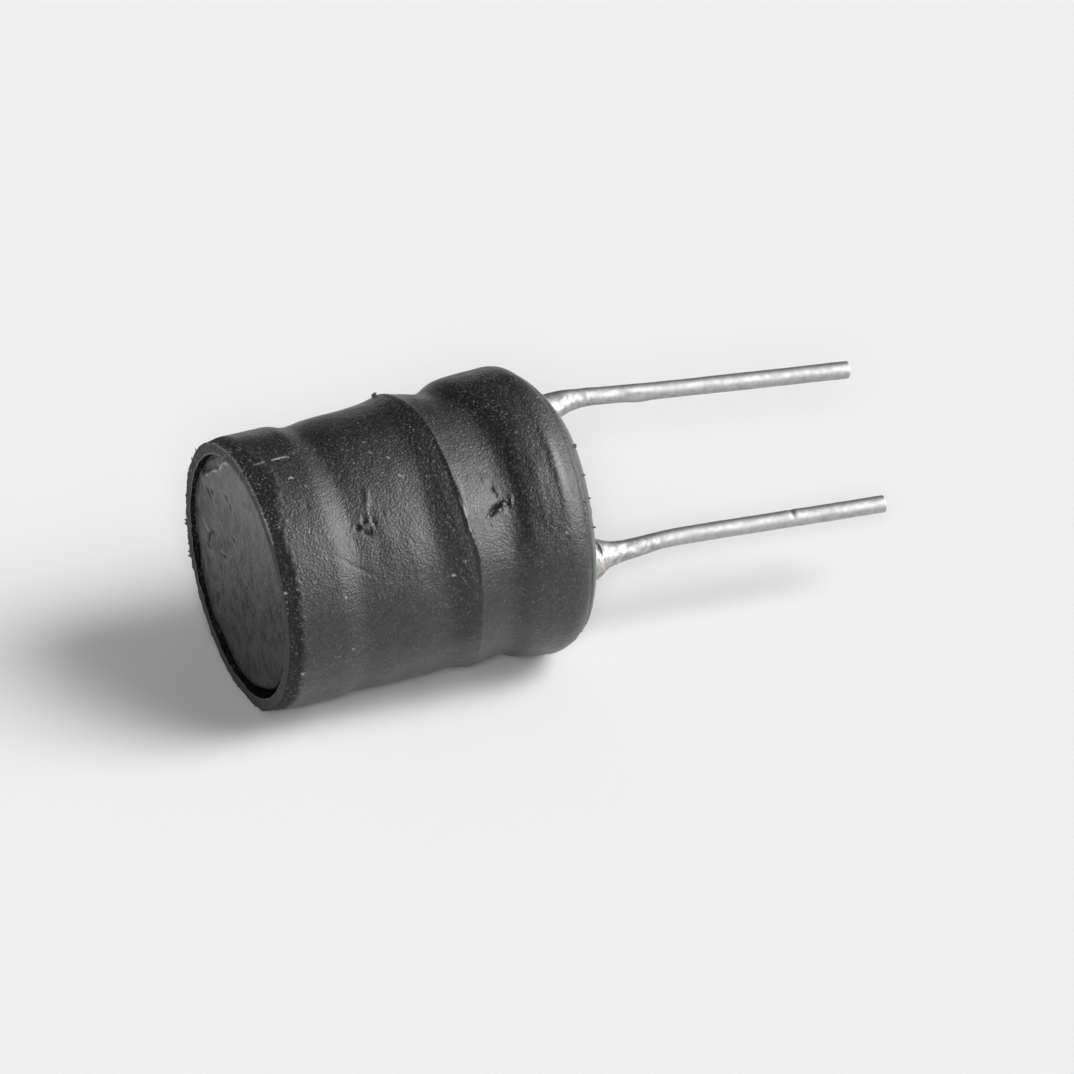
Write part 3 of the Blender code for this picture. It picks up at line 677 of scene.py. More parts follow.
def lineAt(sideAngle):
    # the stations at any side angle, eased between the lines on both sides of it
    angles = sorted(sleeve["lines"])
    around = angles + [angles[0] + 360]
    sideAngle = (sideAngle - angles[0]) % 360 + angles[0]
    i = max(k for k, a in enumerate(around[:-1]) if a <= sideAngle)
    share = (sideAngle - around[i]) / (around[i + 1] - around[i])
    share = (1 - math.cos(math.pi * share)) / 2
    before = np.array(sleeve["lines"][angles[i]], float)
    after = np.array(sleeve["lines"][angles[(i + 1) % len(angles)]], float)
    return before * (1 - share) + after * share


def shapeSleeve(bm):
    # From the spun straight tube. Its X is the share of the way: 0 at the mouth's cut face, 1 where the
    # shoulder starts and 2 at the rear edge. Its radius is 10 - depth, where the skin is 0 deep and the
    # inside one wall.
    s = sleeve
    points = pointsOf(bm)
    share, depth = points[:, 0], 10 - np.hypot(points[:, 1], points[:, 2])
    angle = np.arctan2(points[:, 2], points[:, 1])
    column = np.round(angle / math.tau * s["segments"]).astype(int) % s["segments"]
    along, radius, behindCrest = np.zeros((3, len(points)))
    side = wrapped(np.degrees(angle) - body["nearSide"])
    turn = np.radians(s["rimTurn"]) * np.clip(share - 1, 0, 1)
    ridge, ridgeHalf, groove, grooveHalf = s["crest"]
    strongSide, strongHalf, weak = s["crestStrong"]
    for number in range(s["segments"]):
        rows = np.nonzero(column == number)[0]
        sideAngle = wrapped(360 * number / s["segments"] - body["nearSide"])
        stations = lineAt(sideAngle)
        start = stations[-1][0]
        end = s["shoulderLength"]
        for waveSide, waveHalf, reach in s["endWaves"]:
            end += reach * math.exp(-((wrapped(sideAngle, waveSide) / waveHalf) ** 2))
        straight = np.clip(share[rows], 0, 1) * start
        bend = turn[rows]
        inset = depth[rows]
        along[rows] = straight + (end - inset) * np.sin(bend)
        fall = (s["shoulderDepth"] - inset) * np.cos(bend) - (s["shoulderDepth"] - inset)
        fromCrest = straight - stations[s["crestAt"]][0]
        behindCrest[rows] = fromCrest
        sharp = ridge * np.exp(-((fromCrest / ridgeHalf) ** 2))
        sharp -= groove * np.exp(-(((fromCrest + s["grooveBack"] * grooveHalf) / grooveHalf) ** 2))
        strong = weak + (1 - weak) * math.exp(-(((sideAngle - strongSide) / strongHalf) ** 2))
        radius[rows] = smoothLine(stations, straight) - inset + fall + sharp * strong
    skin = np.clip(1 - depth / s["wall"], 0, 1)
    around = np.radians(side) * s["gripRadius"]

    def spotAt(place, halves, tilt):
        x, spotSide = place
        return blot(along, around, x, math.radians(spotSide) * s["gripRadius"], *halves, tilt)

    for place, halves, tilt, height in skinMarks:
        radius += skin * height * spotAt(place, halves, tilt)
    rimAt, rimHalf, rimDepth = s["rimGroove"]
    radius -= skin * rimDepth * np.exp(-(((share - rimAt) / rimHalf) ** 2))
    flat = np.stack([along, radius * np.cos(angle), radius * np.sin(angle)], 1)
    tongueSide, tongueHalf, tongue = s["bandTongue"]
    bandEnd = s["bandEnd"] + tongue * np.exp(-((wrapped(side, tongueSide) / tongueHalf) ** 2))
    bandEnd = bandEnd + lumps(flat, *s["bandWaver"])
    band = np.clip((bandEnd - along + lumps(flat, *s["bandRagged"])) / s["bandSoft"], 0, 1)
    bulge = blot(along, around, *s["bulge"])
    radius += skin * sum(lumps(flat, *layer) for layer in s["wavy"])
    size, seed, low = s["rough"]
    radius += skin * lumps(flat, size, seed) * (low + s["roughMore"] * np.maximum(band, bulge))
    under = np.radians(np.abs(wrapped(np.degrees(angle), s["underside"])))
    half = math.radians(s["flatHalf"])
    radius *= np.where(under < half, math.cos(half) / np.cos(np.minimum(under, half)), 1.0)
    ragged = sum(lumps(flat, *layer) for layer in s["ragged"])
    atMouth = share < 0.002
    along += ragged * atMouth
    along += ragged * ramp(share, 1.9, 0.1)
    movePoints(bm, np.stack([along, radius * np.cos(angle), radius * np.sin(angle)], 1))

    cutFace = atMouth & (depth > 0.02 * s["wall"]) & (depth < 0.97 * s["wall"])
    # Past the rear groove the rim band is painted lighter, in the cut grey, as painted light.
    rimSoft, rimShare = s["paintedRimLight"]
    rim = ramp(share, rimAt + rimHalf, rimSoft) * rimShare
    paint(bm, "cut", np.maximum(cutFace * s["mouthCut"], rim))
    # Painted shade in front of the fold's crest, which also dulls the skin there.
    footSize, footBack, footHalf = s["crestFootShade"]
    foot = footSize * np.exp(-(((behindCrest + footBack) / footHalf) ** 2))
    foot = foot * np.exp(-((side / s["crestFootShadeHalf"]) ** 4))
    crumpledAndShaded = np.maximum(np.maximum(band, s["bulgeCrumple"] * bulge), foot)
    paint(bm, "crumpleAndShade", crumpledAndShaded * (1 - rim) * (depth < 0.9 * s["wall"]))
    paint(bm, "along", along)
    paint(bm, "around", around)
    # The inside is marked so that the material takes its sheen away, as painted shade.
    paint(bm, "inside", 1.0 * (depth > 0.99 * s["wall"]))
    # A painted highlight on the mouth's outer edge, and painted highlights along the crest among the scuffs,
    # all in the dust colour.
    edgeSide, edgeHalf, paintedEdgeHighlight = s["paintedMouthHighlight"]
    paintedMouthHighlight = (share < 0.003) & (depth < 0.1 * s["wall"]) & (np.abs(wrapped(side, edgeSide)) < edgeHalf)
    scuffedAndLit, polished = np.zeros((2, len(points)))
    for spot in scuffsAndHighlights:
        scuffedAndLit = np.maximum(scuffedAndLit, ramp(spotAt(*spot), 0.2, 2 / 3))
    for *spot, shine in polishedSpots:
        polished = np.maximum(polished, shine * spotAt(*spot))
    paint(bm, "dustAndHighlight", np.maximum(scuffedAndLit * skin, paintedEdgeHighlight * paintedMouthHighlight))
    paint(bm, "polished", polished * skin)


def growBurrs(bm):
    bm.faces.ensure_lookup_table()
    centres = np.array([f.calc_center_median() for f in bm.faces])
    normals = np.array([f.normal for f in bm.faces])
    outwards = (centres * normals)[:, 1:].sum(axis=1) > 0
    side = wrapped(np.degrees(np.arctan2(centres[:, 2], centres[:, 1])) - body["nearSide"])
    draw = random.Random(fuzz["seed"])
    wanted = list(burrs)
    low, high = fuzz["reach"]
    lean = fuzz["lean"]
    for place, count in fuzz["rows"]:
        for number in range(count):
            spot = (place + draw.uniform(0, fuzz["strip"]), draw.uniform(-180, 180))
            wanted.append((spot, (draw.uniform(-lean, lean), low + (high - low) * draw.random() ** 2)))
    chosen = {}
    for (x, spotSide), reach in wanted:
        away = (centres[:, 0] - x) ** 2 + (np.radians(wrapped(side, spotSide)) * fuzz["radius"]) ** 2
        away[~outwards] = math.inf
        chosen[int(np.argmin(away))] = reach
    reaches = {}
    for number, (lengthwise, out) in chosen.items():
        a = math.atan2(centres[number][2], centres[number][1])
        reaches[number] = Vector((lengthwise, out * math.cos(a), out * math.sin(a)))
    growSpikes(bm, reaches)


def shrinkSleeve():
    s = sleeve
    outer = [(i / s["straightRings"], 10.0) for i in range(1, s["straightRings"] + 1)]
    outer += [(1 + i / s["shoulderRings"], 10.0) for i in range(1, s["shoulderRings"] + 1)]
    inner = [(2 * i / s["innerRings"], 10 - s["wall"]) for i in range(s["innerRings"], -1, -1)]
    rearCut = [(2.0, 10 - s["wall"] * share) for share in (0.08, 0.35, 0.65, 0.92)]
    mouthCut = [(0.0, 10 - s["wall"] * share) for share in (0.94, 0.8, 0.6, 0.4, 0.2, 0.06)]
    bm = turned(outer + rearCut + inner + mouthCut + [(0.002, 10.0)], s["segments"], closed=True)
    shapeSleeve(bm)
    growBurrs(bm)
    return addPiece("shrinkSleeve", bm, tubeBlack, ("shrink_sleeve",))


shrinkSleeve()

# Ferrite drum core
drum = {
    "segments": 288,
    "frontRadius": 4.44,
    "frontThickness": 2.0,
    "edge": 0.06,
    "postRadius": 2.1,
    "rearRadius": 4.73,
    "rearThickness": 1.9,
    "rearBevel": 0.22,
    "faceRings": 80,
    "holeRadius": 0.42,
    "holeDepth": 1.4,
    "holeSegments": 48,
    "notchWidth": 0.6,
    "notchFloor": 3.72,
    "uneven": ((1.1, 11.0, 0.012), (0.3, 12.0, 0.008)),  # lumps: size in mm, seed and height
    "paintedEdgeHighlight": (-150.0, 62.0, 0.11, 0.03),  # a painted highlight on the face's edge: side angle, half angle, width in mm and how soft it starts
    "paintedEdgeHighlightLumps": (0.75, 0.3, 18.0),  # the level that it varies from, lumps' size in mm and seed
    "paintedTopLight": 0.17,  # painted light: paler towards the top of the face
}
# Marks on the end face: (Y, Z) from the core's axis, half sizes in mm, turn, and height
faceMarks = (
    ((1.18, 2.52), (0.20, 0.08), 20, -0.06),
    ((0.78, 2.32), (0.18, 0.07), 50, -0.06),
    ((2.92, 1.85), (0.36, 0.09), 30, -0.05),
    ((2.55, 2.05), (0.12, 0.12), 0, -0.05),
    ((3.08, -0.18), (0.26, 0.08), 100, -0.06),
    ((2.90, 0.10), (0.42, 0.05), -40, -0.06),
    ((3.20, 0.22), (0.40, 0.06), 20, 0.05),
    ((2.50, 0.26), (0.15, 0.06), 80, -0.05),
    ((3.15, -0.55), (0.30, 0.07), 10, -0.05),
    ((0.52, 1.06), (0.18, 0.07), 10, -0.05),
    ((1.55, -0.15), (0.16, 0.09), 0, -0.06),
    ((1.62, -0.02), (0.20, 0.05), 0, 0.04),
    ((-0.72, -0.20), (0.46, 0.028), -170, 0.02),
    ((3.3, -1.2), (0.5, 0.2), 60, -0.03),
    ((2.4, -2.4), (0.4, 0.12), 110, -0.03),
    ((-1.0, 3.3), (0.5, 0.15), -20, -0.03),
)
# How a mark is painted: a pit dark, as painted shade, and a raised mark and a pit's fringe pale, as painted
# highlight. Each pair is how strongly its height shows, and the most that it shows.
markPaint = {
    "shadedPit": (20, 1.0),
    "pitSpread": 1.6,
    "bump": (24, 0.7),
    "fringe": (5, 0.25),  # the painted highlight on the fringe of a pit
    "fringeReach": (1.5, 2.2),
    "pitFresh": 0.5,  # how much a pit takes from the pale parts
}
# The edge of the face: side angle, half angle and depth of the places where it has chipped
chips = ((-162, 5, 0.16), (-100, 26, 0.10), (36, 6, 0.22), (96, 14, 0.13), (60, 5, 0.08), (150, 9, 0.07))
# Chips are painted darker, as painted shade.
chipLook = {"width": 0.28, "lumps": (0.3, 16.0, 0.5), "dark": 0.5}
# The raised lip of pressed powder across the top of the face, and the rubble beyond it
ridge = {
    "middle": -92.0,
    "half": 24.0,
    "fades": (0.8, 2 / 3),  # in half angles: from where, and over how far
    "radius": 3.82,
    "lift": 0.45,
    "waver": (0.8, 14.0, 0.18),
    "height": 0.05,
    "width": 0.07,
    "bold": 1.6,
    "pale": (0.22, 17.0, 2.0, 0.38),  # the painted highlight along the lip, in lumps: size in mm, seed and height, and the level that they vary from
    "rubble": (0.22, 15.0, 0.06),
    "rubblePits": (0.35, 0.8),  # the rubble's pits, painted dark as painted shade: the noise level where they start, and the darkest
    "drop": 0.06,
    "dropSoft": 0.15,
}


def rod(start, end, radius, segments):
    # a closed rod between two points in mm
    bm = bmesh.new()
    start, end = Vector(start), Vector(end)
    heading = (end - start).to_track_quat("Z", "Y").to_matrix().to_4x4()
    place = Matrix.Translation((start + end) / 2) @ heading
    bmesh.ops.create_cone(
        bm,
        cap_ends=True,
        segments=segments,
        radius1=radius,
        radius2=radius,
        depth=(end - start).length,
        matrix=place,
    )
    return bm


def slotBlock(middle, size):
    bm = bmesh.new()
    bmesh.ops.create_cube(bm, size=1.0)
    bmesh.ops.scale(bm, verts=bm.verts, vec=size)
    turn = Matrix(((1, 0, 0), tuple(pinLine), tuple(acrossPins))).transposed().to_4x4()
    bmesh.ops.transform(bm, matrix=Matrix.Translation(middle) @ turn, verts=bm.verts)
    return bm


def cutAway(bm, cutters):
    # takes the cutters' shapes out of a closed shape, and gives back the new bmesh
    made = []
    for number, part in enumerate([bm] + cutters):
        mesh = bpy.data.meshes.new(f"cutting{number}")
        part.to_mesh(mesh)
        part.free()
        made.append(bpy.data.objects.new(mesh.name, mesh))
        bpy.context.scene.collection.objects.link(made[-1])
    for cutter in made[1:]:
        step = made[0].modifiers.new(cutter.name, "BOOLEAN")
        step.operation = "DIFFERENCE"
        step.solver = "EXACT"
        step.object = cutter
    result = bmesh.new()
    result.from_object(made[0], bpy.context.evaluated_depsgraph_get())
    for thing in made:
        bpy.data.meshes.remove(thing.data)
    return result


def drumProfile():
    s = drum
    front, rear = body["faceRecess"], body["coreRear"]
    windowFront, windowRear = front + s["frontThickness"], rear - s["rearThickness"]
    bevel, edge = s["rearBevel"], s["edge"]
    flat = s["frontRadius"] - edge
    face = [(front, flat * i / s["faceRings"]) for i in range(s["faceRings"] + 1)]
    return face + [
        (front + 0.3 * edge, flat + 0.7 * edge),  # halfway round the edge
        (front + edge, s["frontRadius"]),
        (front + 5 * edge, s["frontRadius"]),
        (windowFront - edge, s["frontRadius"]),
        (windowFront, flat),
        (windowFront, s["postRadius"]),
        (windowRear, s["postRadius"]),
        (windowRear, s["rearRadius"] - bevel),
        (windowRear + bevel, s["rearRadius"]),
        (rear - bevel, s["rearRadius"]),
        (rear, s["rearRadius"] - bevel),
        (rear, 0.0),
    ]


def drumCore():
    s, m = drum, markPaint
    bm = turned(drumProfile(), s["segments"])
    movePoints(bm, pointsOf(bm) + coreCentre)
    bm = cutAway(bm, rearCutters(body["coreRear"]))
    points = pointsOf(bm) - coreCentre
    y, z = points[:, 1], points[:, 2]
    radius = np.hypot(y, z)
    side = wrapped(np.degrees(np.arctan2(z, y)) - body["nearSide"])
    onFace = points[:, 0] < body["faceRecess"] + 1.5 * s["edge"]
    height = sum(lumps(points, *layer) for layer in s["uneven"])
    paintedPitShade, paleAndLit = np.zeros((2, len(points)))
    # Each mark's height is also painted: a pit dark, as painted shade, and a raised mark and a pit's fringe
    # pale, as painted highlight.
    for centre, halves, tilt, lift in faceMarks:
        mark = blot(y, z, *centre, *halves, tilt)
        height += lift * mark
        dark, pale, paleFringe = (
            np.clip(way * lift * m[name][0], 0, m[name][1])
            for name, way in (("shadedPit", -1), ("bump", 1), ("fringe", -1))
        )
        paintedPitShade = np.maximum(paintedPitShade, dark * np.clip(m["pitSpread"] * mark, 0, 1))
        fringe = [half * reach for half, reach in zip(halves, m["fringeReach"])]
        fringe = blot(y, z, *centre, *fringe, tilt) - mark
        paleAndLit = np.maximum(np.maximum(paleAndLit, mark * pale), fringe * paleFringe)

    away = wrapped(side, ridge["middle"]) / ridge["half"]
    ridgeRadius = ridge["radius"] + ridge["lift"] * away**2 + lumps(points, *ridge["waver"])
    present = 1 - ramp(np.abs(away), *ridge["fades"])
    lip = np.exp(-(((radius - ridgeRadius) / ridge["width"]) ** 2))
    lip = lip * np.minimum(1, ridge["bold"] * present)
    height += lip * ridge["height"]
    # A painted highlight along the lip.
    *paleLumps, pale = ridge["pale"]
    paleAndLit = np.maximum(paleAndLit, lip * np.clip(pale + lumps(points, *paleLumps), 0, 1))
    beyond = present * ramp(radius, ridgeRadius, ridge["dropSoft"])
    size, seed, rubbleHeight = ridge["rubble"]
    rubble = lumps(points, size, seed)
    height += beyond * (rubble * rubbleHeight - ridge["drop"])
    # Painted shade in the rubble's hollows.
    pitStart, darkest = ridge["rubblePits"]
    paintedPitShade = np.maximum(paintedPitShade, beyond * np.clip(pitStart - rubble, 0, darkest))

    # Chips cut into the edge and are painted darker there, as painted shade.
    for chipSide, half, deep in chips:
        gone = np.exp(-((wrapped(side, chipSide) / half) ** 4)) * (1 + lumps(points, *chipLook["lumps"]))
        edgeShare = ramp(radius, s["frontRadius"] - chipLook["width"], chipLook["width"])
        height -= deep * gone * edgeShare**2
        paintedPitShade = np.maximum(paintedPitShade, chipLook["dark"] * gone * edgeShare)
    # A painted highlight along the face's edge.
    shineSide, shineHalf, shineWidth, shineSoft = s["paintedEdgeHighlight"]
    shine = np.exp(-((wrapped(side, shineSide) / shineHalf) ** 4))
    shine = shine * ramp(radius, s["frontRadius"] - shineWidth, shineSoft)
    shineLevel, *shineLumps = s["paintedEdgeHighlightLumps"]
    shine = shine * np.clip(shineLevel + lumps(points, *shineLumps), 0, 1)
    paleAndLit = np.maximum(paleAndLit * (1 - m["pitFresh"] * paintedPitShade), shine)
    # Painted light: the face gets paler towards its top.
    paleAndLit = paleAndLit + (1 - paleAndLit) * s["paintedTopLight"] * ramp(z, 0, s["frontRadius"])
    points[:, 0] -= onFace * height
    movePoints(bm, points + coreCentre)
    paint(bm, "paintedPitShade", paintedPitShade * onFace)
    paint(bm, "paleAndLit", paleAndLit * onFace)
    return addPiece("drumCore", bm, ferriteGrey, ("drum_core",), 30.0)


def rearCutters(rear):
    # the shapes of the lead holes and the wire notches in the rear flange
    s = drum
    cutters = []
    notchHeight = 2 * (s["rearRadius"] - s["notchFloor"])
    for way in (1, -1):
        centre = coreCentre + pinLine * way * body["pinOffset"]
        ends = [centre + np.array([rear + out, 0, 0]) for out in (-s["holeDepth"], s["holeDepth"])]
        cutters.append(rod(*ends, s["holeRadius"], s["holeSegments"]))
        middle = coreCentre + pinLine * way * (s["notchFloor"] + notchHeight / 2)
        middle = middle + np.array([rear - s["rearThickness"] / 2, 0, 0])
        cutters.append(slotBlock(middle, (2 * s["rearThickness"], notchHeight, s["notchWidth"])))
    return cutters


drumCore()

# Leads: round wire along a bent route. Each route gives the distance past the rear face, and how far
# the lead has wandered outwards from its hole.
leads = {
    "radius": 0.322,
    "uneven": ((1.1, 20.0, 0.010), (0.35, 30.0, 0.004)),  # lumps: size in mm, seed and height
    "sheared": (0.04, 0.10, (0.2, 35.0, 0.02)),  # the cut end: how far back, its slant and its lumps
    "tipLength": 0.06,
    "tip": ((0.03, 0.008), (0.008, 0.03), (0.0, 0.07)),  # its rounding: back from the end, and inwards
    "segments": 40,
    "step": 0.06,
    "foot": -1.35,
    "routes": (
        (
            (0.0, 0.0), (0.9, 0.22), (1.85, 0.53), (2.4, 0.6), (3.0, 0.58), (4.25, 0.42), (6.0, 0.19),
            (13.26, -0.68),
        ),
        (
            (0.0, 0.0), (1.2, -0.14), (2.3, -0.26), (3.2, -0.25), (4.05, -0.28), (4.7, -0.305),
            (6.6, -0.2), (9.25, 0.0), (11.5, 0.17), (13.4, 0.305),
        ),
    ),
    # dents and lumps: distance past the rear face and the angle around the wire (90 faces the photograph's
    # camera, 0 its lower edge, 180 its upper edge), half length in mm and half angle, and height
    "marks": (
        (
            (5.1, 15, 0.42, 40, 0.045), (5.0, 62, 0.50, 26, -0.04), (4.75, 112, 0.30, 34, 0.02),
            (3.6, 40, 0.5, 40, 0.02), (7.6, 70, 0.6, 30, -0.015), (9.3, 100, 0.4, 40, 0.012),
            (11.4, 60, 0.7, 30, -0.015),
        ),
        (
            (9.76, 140, 0.07, 45, -0.045), (9.95, 120, 0.2, 50, 0.015), (4.24, 118, 0.07, 20, -0.05),
            (3.7, 60, 0.4, 30, 0.02), (6.0, 70, 0.5, 30, -0.02), (7.8, 90, 0.4, 35, -0.015),
            (4.4, 95, 0.14, 24, -0.03),
        ),
    ),
}


def ontoLead(number, points):
    # bends a straight shape along X onto the lead's route; X is the distance past the rear face
    route = leads["routes"][number]
    side = (1, -1)[number]
    past = points[:, 0]
    nudge = 0.02
    out = smoothLine(route, past)
    slope = (smoothLine(route, past + nudge) - smoothLine(route, past - nudge)) / (2 * nudge)
    ending = past > route[-1][0] - nudge
    slope[ending] = (route[-1][1] - smoothLine(route, route[-1][0] - nudge)) / nudge
    heading = np.array([[1.0, 0, 0]]) + np.outer(side * slope, pinLine)
    heading /= np.linalg.norm(heading, axis=1)[:, None]
    square = np.cross(heading, acrossPins)
    offset = side * (body["pinOffset"] + out)
    centre = coreCentre + np.outer(body["coreRear"] + past, [1, 0, 0]) + np.outer(offset, pinLine)
    return centre + square * points[:, 1:2] + acrossPins * points[:, 2:3]


def dented(points, marks, grown):
    # the radius of a wire's points changed by its marks and by what else has grown on it
    angle = np.degrees(np.arctan2(points[:, 2], points[:, 1]))
    radius = np.maximum(np.hypot(points[:, 1], points[:, 2]), 1e-6)
    for past, markAngle, halfLength, halfAngle, height in marks:
        off = wrapped(angle, markAngle)
        grown = grown + height * blot(points[:, 0], off, past, 0, halfLength, halfAngle)
    scale = 1 + grown / radius * np.clip(radius / 0.1, 0, 1)
    return points * np.stack([np.ones(len(points)), scale, scale], 1)


def lead(number):
    s = leads
    tip = s["routes"][number][-1][0]
    rings = int((tip - s["foot"]) / s["step"])
    length = tip - s["tipLength"] - s["foot"]
    r = s["radius"]
    profile = [(s["foot"], 0.0), (s["foot"], r)]
    profile += [(s["foot"] + length * i / rings, r) for i in range(1, rings + 1)]
    profile += [(tip - back, r - inwards) for back, inwards in s["tip"]]
    profile += [(tip, r * 0.4), (tip, 0.0)]
    bm = turned(profile, s["segments"])
    points = pointsOf(bm)
    grown = sum(lumps(points, size, seed + number, height) for size, seed, height in s["uneven"])
    back, slant, rough = s["sheared"]
    sheared = points[:, 0] > tip - 0.02
    tilted = points[:, 2] * slant + lumps(points, *rough)
    points = dented(points, s["marks"][number], grown)
    points[:, 0] -= sheared * (back + tilted)
    movePoints(bm, ontoLead(number, points))
    paint(bm, "copper", 0.6 * blot(points[:, 0], points[:, 1], tip, 0, 0.05, 0.25))
    return addPiece(f"lead{number + 1}", bm, tin, (f"lead_{number + 1}",))


for number in range(2):
    lead(number)

# Solder joints: the thickness on the lead at each distance past the rear face
joints = {
    "segments": 72,
    "step": 0.04,
    "shapes": (
        (
            (0.03, 0.7), (0.5, 0.62), (1.0, 0.55), (1.31, 0.43), (1.5, 0.32), (1.76, 0.22), (2.13, 0.14),
            (2.5, 0.08), (2.9, 0.03), (3.6, 0.0), (4.0, -0.02),
        ),
        (
            (0.03, 0.68), (0.6, 0.62), (1.2, 0.56), (1.8, 0.48), (2.1, 0.385), (2.3, 0.285), (2.456, 0.21),
            (2.766, 0.12), (3.23, 0.058), (3.75, 0.032), (4.4, 0.005), (4.7, -0.02),
        ),
    ),
    "marks": (
        ((1.5, 30, 0.25, 30, 0.04), (1.9, 120, 0.30, 35, -0.03), (1.2, 80, 0.2, 30, 0.03)),
        (
            (2.06, 112, 0.045, 26, -0.09), (2.17, 108, 0.05, 22, 0.04), (2.17, 62, 0.05, 16, -0.05),
            (1.95, 80, 0.05, 14, 0.04), (2.02, 38, 0.06, 12, 0.03),
            (2.95, 120, 0.25, 26, 0.02), (3.15, 105, 0.16, 22, -0.03), (3.5, 80, 0.2, 20, -0.02),
            (2.75, 25, 0.06, 12, 0.04),
        ),
    ),
    "uneven": ((0.5, 40.0, 0.035), (0.2, 45.0, 0.016)),  # as on the leads
    "unevenFull": 0.4,  # the thickness where the lumps have their full height
    "copper": (2.25, 64, 0.08, 18, 0.4),  # on joint 2: place, angle, half sizes and strength
}


def solderJoint(number):
    s = joints
    shape = s["shapes"][number]
    start, end = shape[0][0], shape[-1][0]
    rings = int((end - start) / s["step"])
    places = [start + (end - start) * i / rings for i in range(rings + 1)]
    profile = [(start, 0.0)]
    profile += [(place, leads["radius"] + float(smoothLine(shape, place))) for place in places]
    profile.append((end, 0.0))
    bm = turned(profile, s["segments"])
    points = pointsOf(bm)
    angle = np.degrees(np.arctan2(points[:, 2], points[:, 1]))
    thick = ramp(np.hypot(points[:, 1], points[:, 2]), leads["radius"], s["unevenFull"])
    uneven = sum(lumps(points, size, seed + number, height) for size, seed, height in s["uneven"])
    copper = np.zeros(len(points))
    if number == 1:
        past, markAngle, halfLength, halfAngle, share = s["copper"]
        copper = share * blot(points[:, 0], wrapped(angle, markAngle), past, 0, halfLength, halfAngle)
    points = dented(points, s["marks"][number], uneven * thick)
    movePoints(bm, ontoLead(number, points))
    paint(bm, "copper", copper)
    return addPiece(f"solderJoint{number + 1}", bm, solder, (f"solder_joint_{number + 1}",))


for number in range(2):
    solderJoint(number)

# Finishes on the pieces that stay as built
for nodeName, finish in (("winding", enamel), ("lead_adhesive_1", epoxy), ("lead_adhesive_2", epoxy)):
    node = frame["nodes"][nodeName]
    node.data.materials.clear()
    node.data.materials.append(finish)

# Stage: a plain pale floor
stage = {"floor": "#F1F1F1", "size": 0.8}


def floor():
    made, tree, shader, place = newMaterial("paleFloor")
    shader.inputs["Base Color"].default_value = linear(stage["floor"])
    shader.inputs["Roughness"].default_value = 0.9
    shader.inputs["Specular IOR Level"].default_value = 0.0
    bm = bmesh.new()
    bmesh.ops.create_grid(bm, x_segments=1, y_segments=1, size=stage["size"])
    mesh = bpy.data.meshes.new("floor")
    bm.to_mesh(mesh)
    bm.free()
    mesh.materials.append(made)
    plane = bpy.data.objects.new("floor", mesh)
    bpy.context.scene.collection.objects.link(plane)


floor()

# Light: a wide soft key from the camera's right, made of a fan of lamps, a weaker lamp beside the camera,
# and a weak even fill. The studio around the table is pale to the camera. Glossy surfaces see it too:
# brightest towards a broad white panel, and dim on the far side.
light = {
    "key": {"azimuths": (-51.0, -35.0, -19.0), "elevations": (38.0, 52.0), "strength": 0.48, "spread": 20.0},
    "front": {"towards": (-0.33, -0.80, 0.50), "strength": 1.28, "spread": 12.0},
    "fill": 0.14,
    "pale": 0.88,
    "panel": (0.80, -0.45, 0.40),
    "panelLevel": 6.4,
    "panelFrom": 0.3,  # the cosine, counted from the panel's middle, where its light starts
    "panelFall": 3.3,
    "walls": (0.1, 0.4, 0.08, 0.42),  # the cosines between which the rest gets lighter, and its levels there
}


def lamp(name, towards, strength, spread):
    sun = bpy.data.lights.new(name, "SUN")
    sun.energy = strength
    sun.angle = math.radians(spread)
    placed = bpy.data.objects.new(name, sun)
    placed.rotation_euler = Vector(towards).to_track_quat("Z", "Y").to_euler()
    placed.visible_glossy = False  # glossy surfaces see the studio instead
    bpy.context.scene.collection.objects.link(placed)


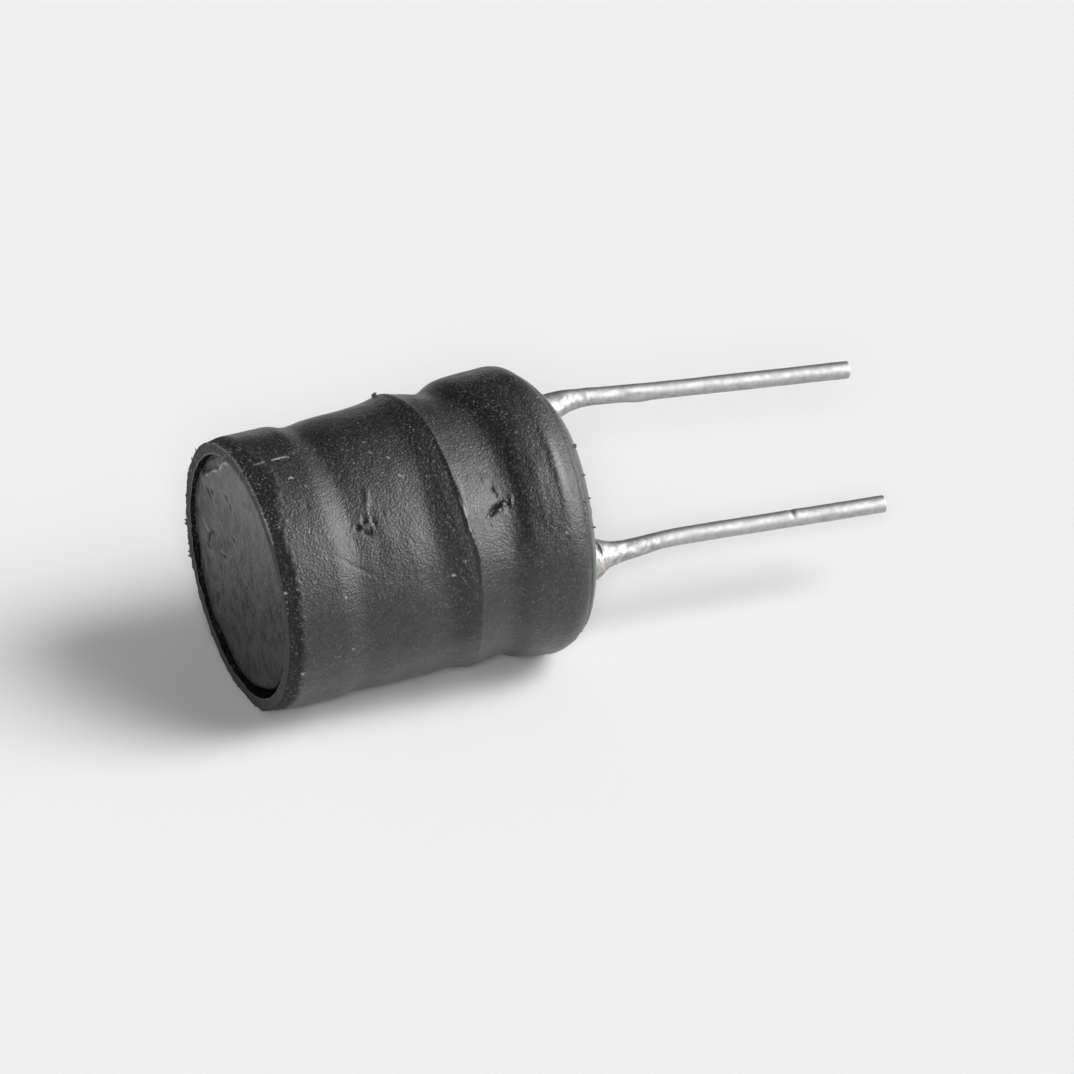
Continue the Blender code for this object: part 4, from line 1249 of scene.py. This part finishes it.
def studio():
    world = bpy.data.worlds.new("studio")
    bpy.context.scene.world = world
    world.use_nodes = True
    tree = world.node_tree
    background = tree.nodes["Background"]
    background.inputs["Color"].default_value = (1, 1, 1, 1)
    direction = addNode(tree, "TexCoord", {}, (), "Generated")
    panel = Vector(light["panel"]).normalized()
    towardsPanel = addNode(tree, "VectorMath", {"operation": "DOT_PRODUCT"}, (direction, panel), "Value")
    walls = addNode(tree, "MapRange", {}, (towardsPanel, *light["walls"]))
    share = addNode(tree, "MapRange", {}, (towardsPanel, light["panelFrom"], 1.0))
    share = addNode(tree, "Math", {"operation": "POWER"}, (share, light["panelFall"]))
    around = addNode(tree, "Math", {"operation": "MULTIPLY_ADD"}, (share, light["panelLevel"], walls))
    seen = addNode(tree, "LightPath", {}, (), "Is Camera Ray")
    shiny = [seen.node.outputs[name] for name in ("Is Glossy Ray", "Is Transmission Ray")]
    shiny = addNode(tree, "Math", {"operation": "MAXIMUM"}, shiny)
    level = addNode(tree, "Mix", {}, {0: shiny, 2: light["fill"], 3: around})
    level = addNode(tree, "Mix", {}, {0: seen, 2: level, 3: light["pale"]})
    tree.links.new(level, background.inputs["Strength"])


for azimuth in light["key"]["azimuths"]:
    for elevation in light["key"]["elevations"]:
        a, e = math.radians(azimuth), math.radians(elevation)
        towards = (math.cos(a) * math.cos(e), math.sin(a) * math.cos(e), math.sin(e))
        lamp("softKey", towards, light["key"]["strength"], light["key"]["spread"])
lamp("frontFill", **light["front"])
studio()

# Camera: nearly parallel, as through a long macro lens
shot = {"azimuth": -22.57, "elevation": 29.53, "distance": 1.0, "width": 39.05, "right": 10.891, "up": 1.436}


def camera():
    a, e = math.radians(shot["azimuth"]), math.radians(shot["elevation"])
    right = Vector((math.cos(a), math.sin(a), 0))
    up = Vector((-math.sin(a) * math.sin(e), math.cos(a) * math.sin(e), math.cos(e)))
    back = right.cross(up)
    aim = toFrame.translation + (right * shot["right"] + up * shot["up"]) * mm
    data = bpy.data.cameras.new("camera")
    data.sensor_width = 36.0
    data.lens = 36.0 * shot["distance"] / (shot["width"] * mm)
    data.clip_start = 0.01
    rig = bpy.data.objects.new("camera", data)
    turn = Matrix((right, up, back)).transposed().to_4x4()
    rig.matrix_world = Matrix.Translation(aim + back * shot["distance"]) @ turn
    bpy.context.scene.collection.objects.link(rig)
    bpy.context.scene.camera = rig


camera()
bpy.context.scene.view_settings.view_transform = "Standard"
print("stage, lights and camera ready")
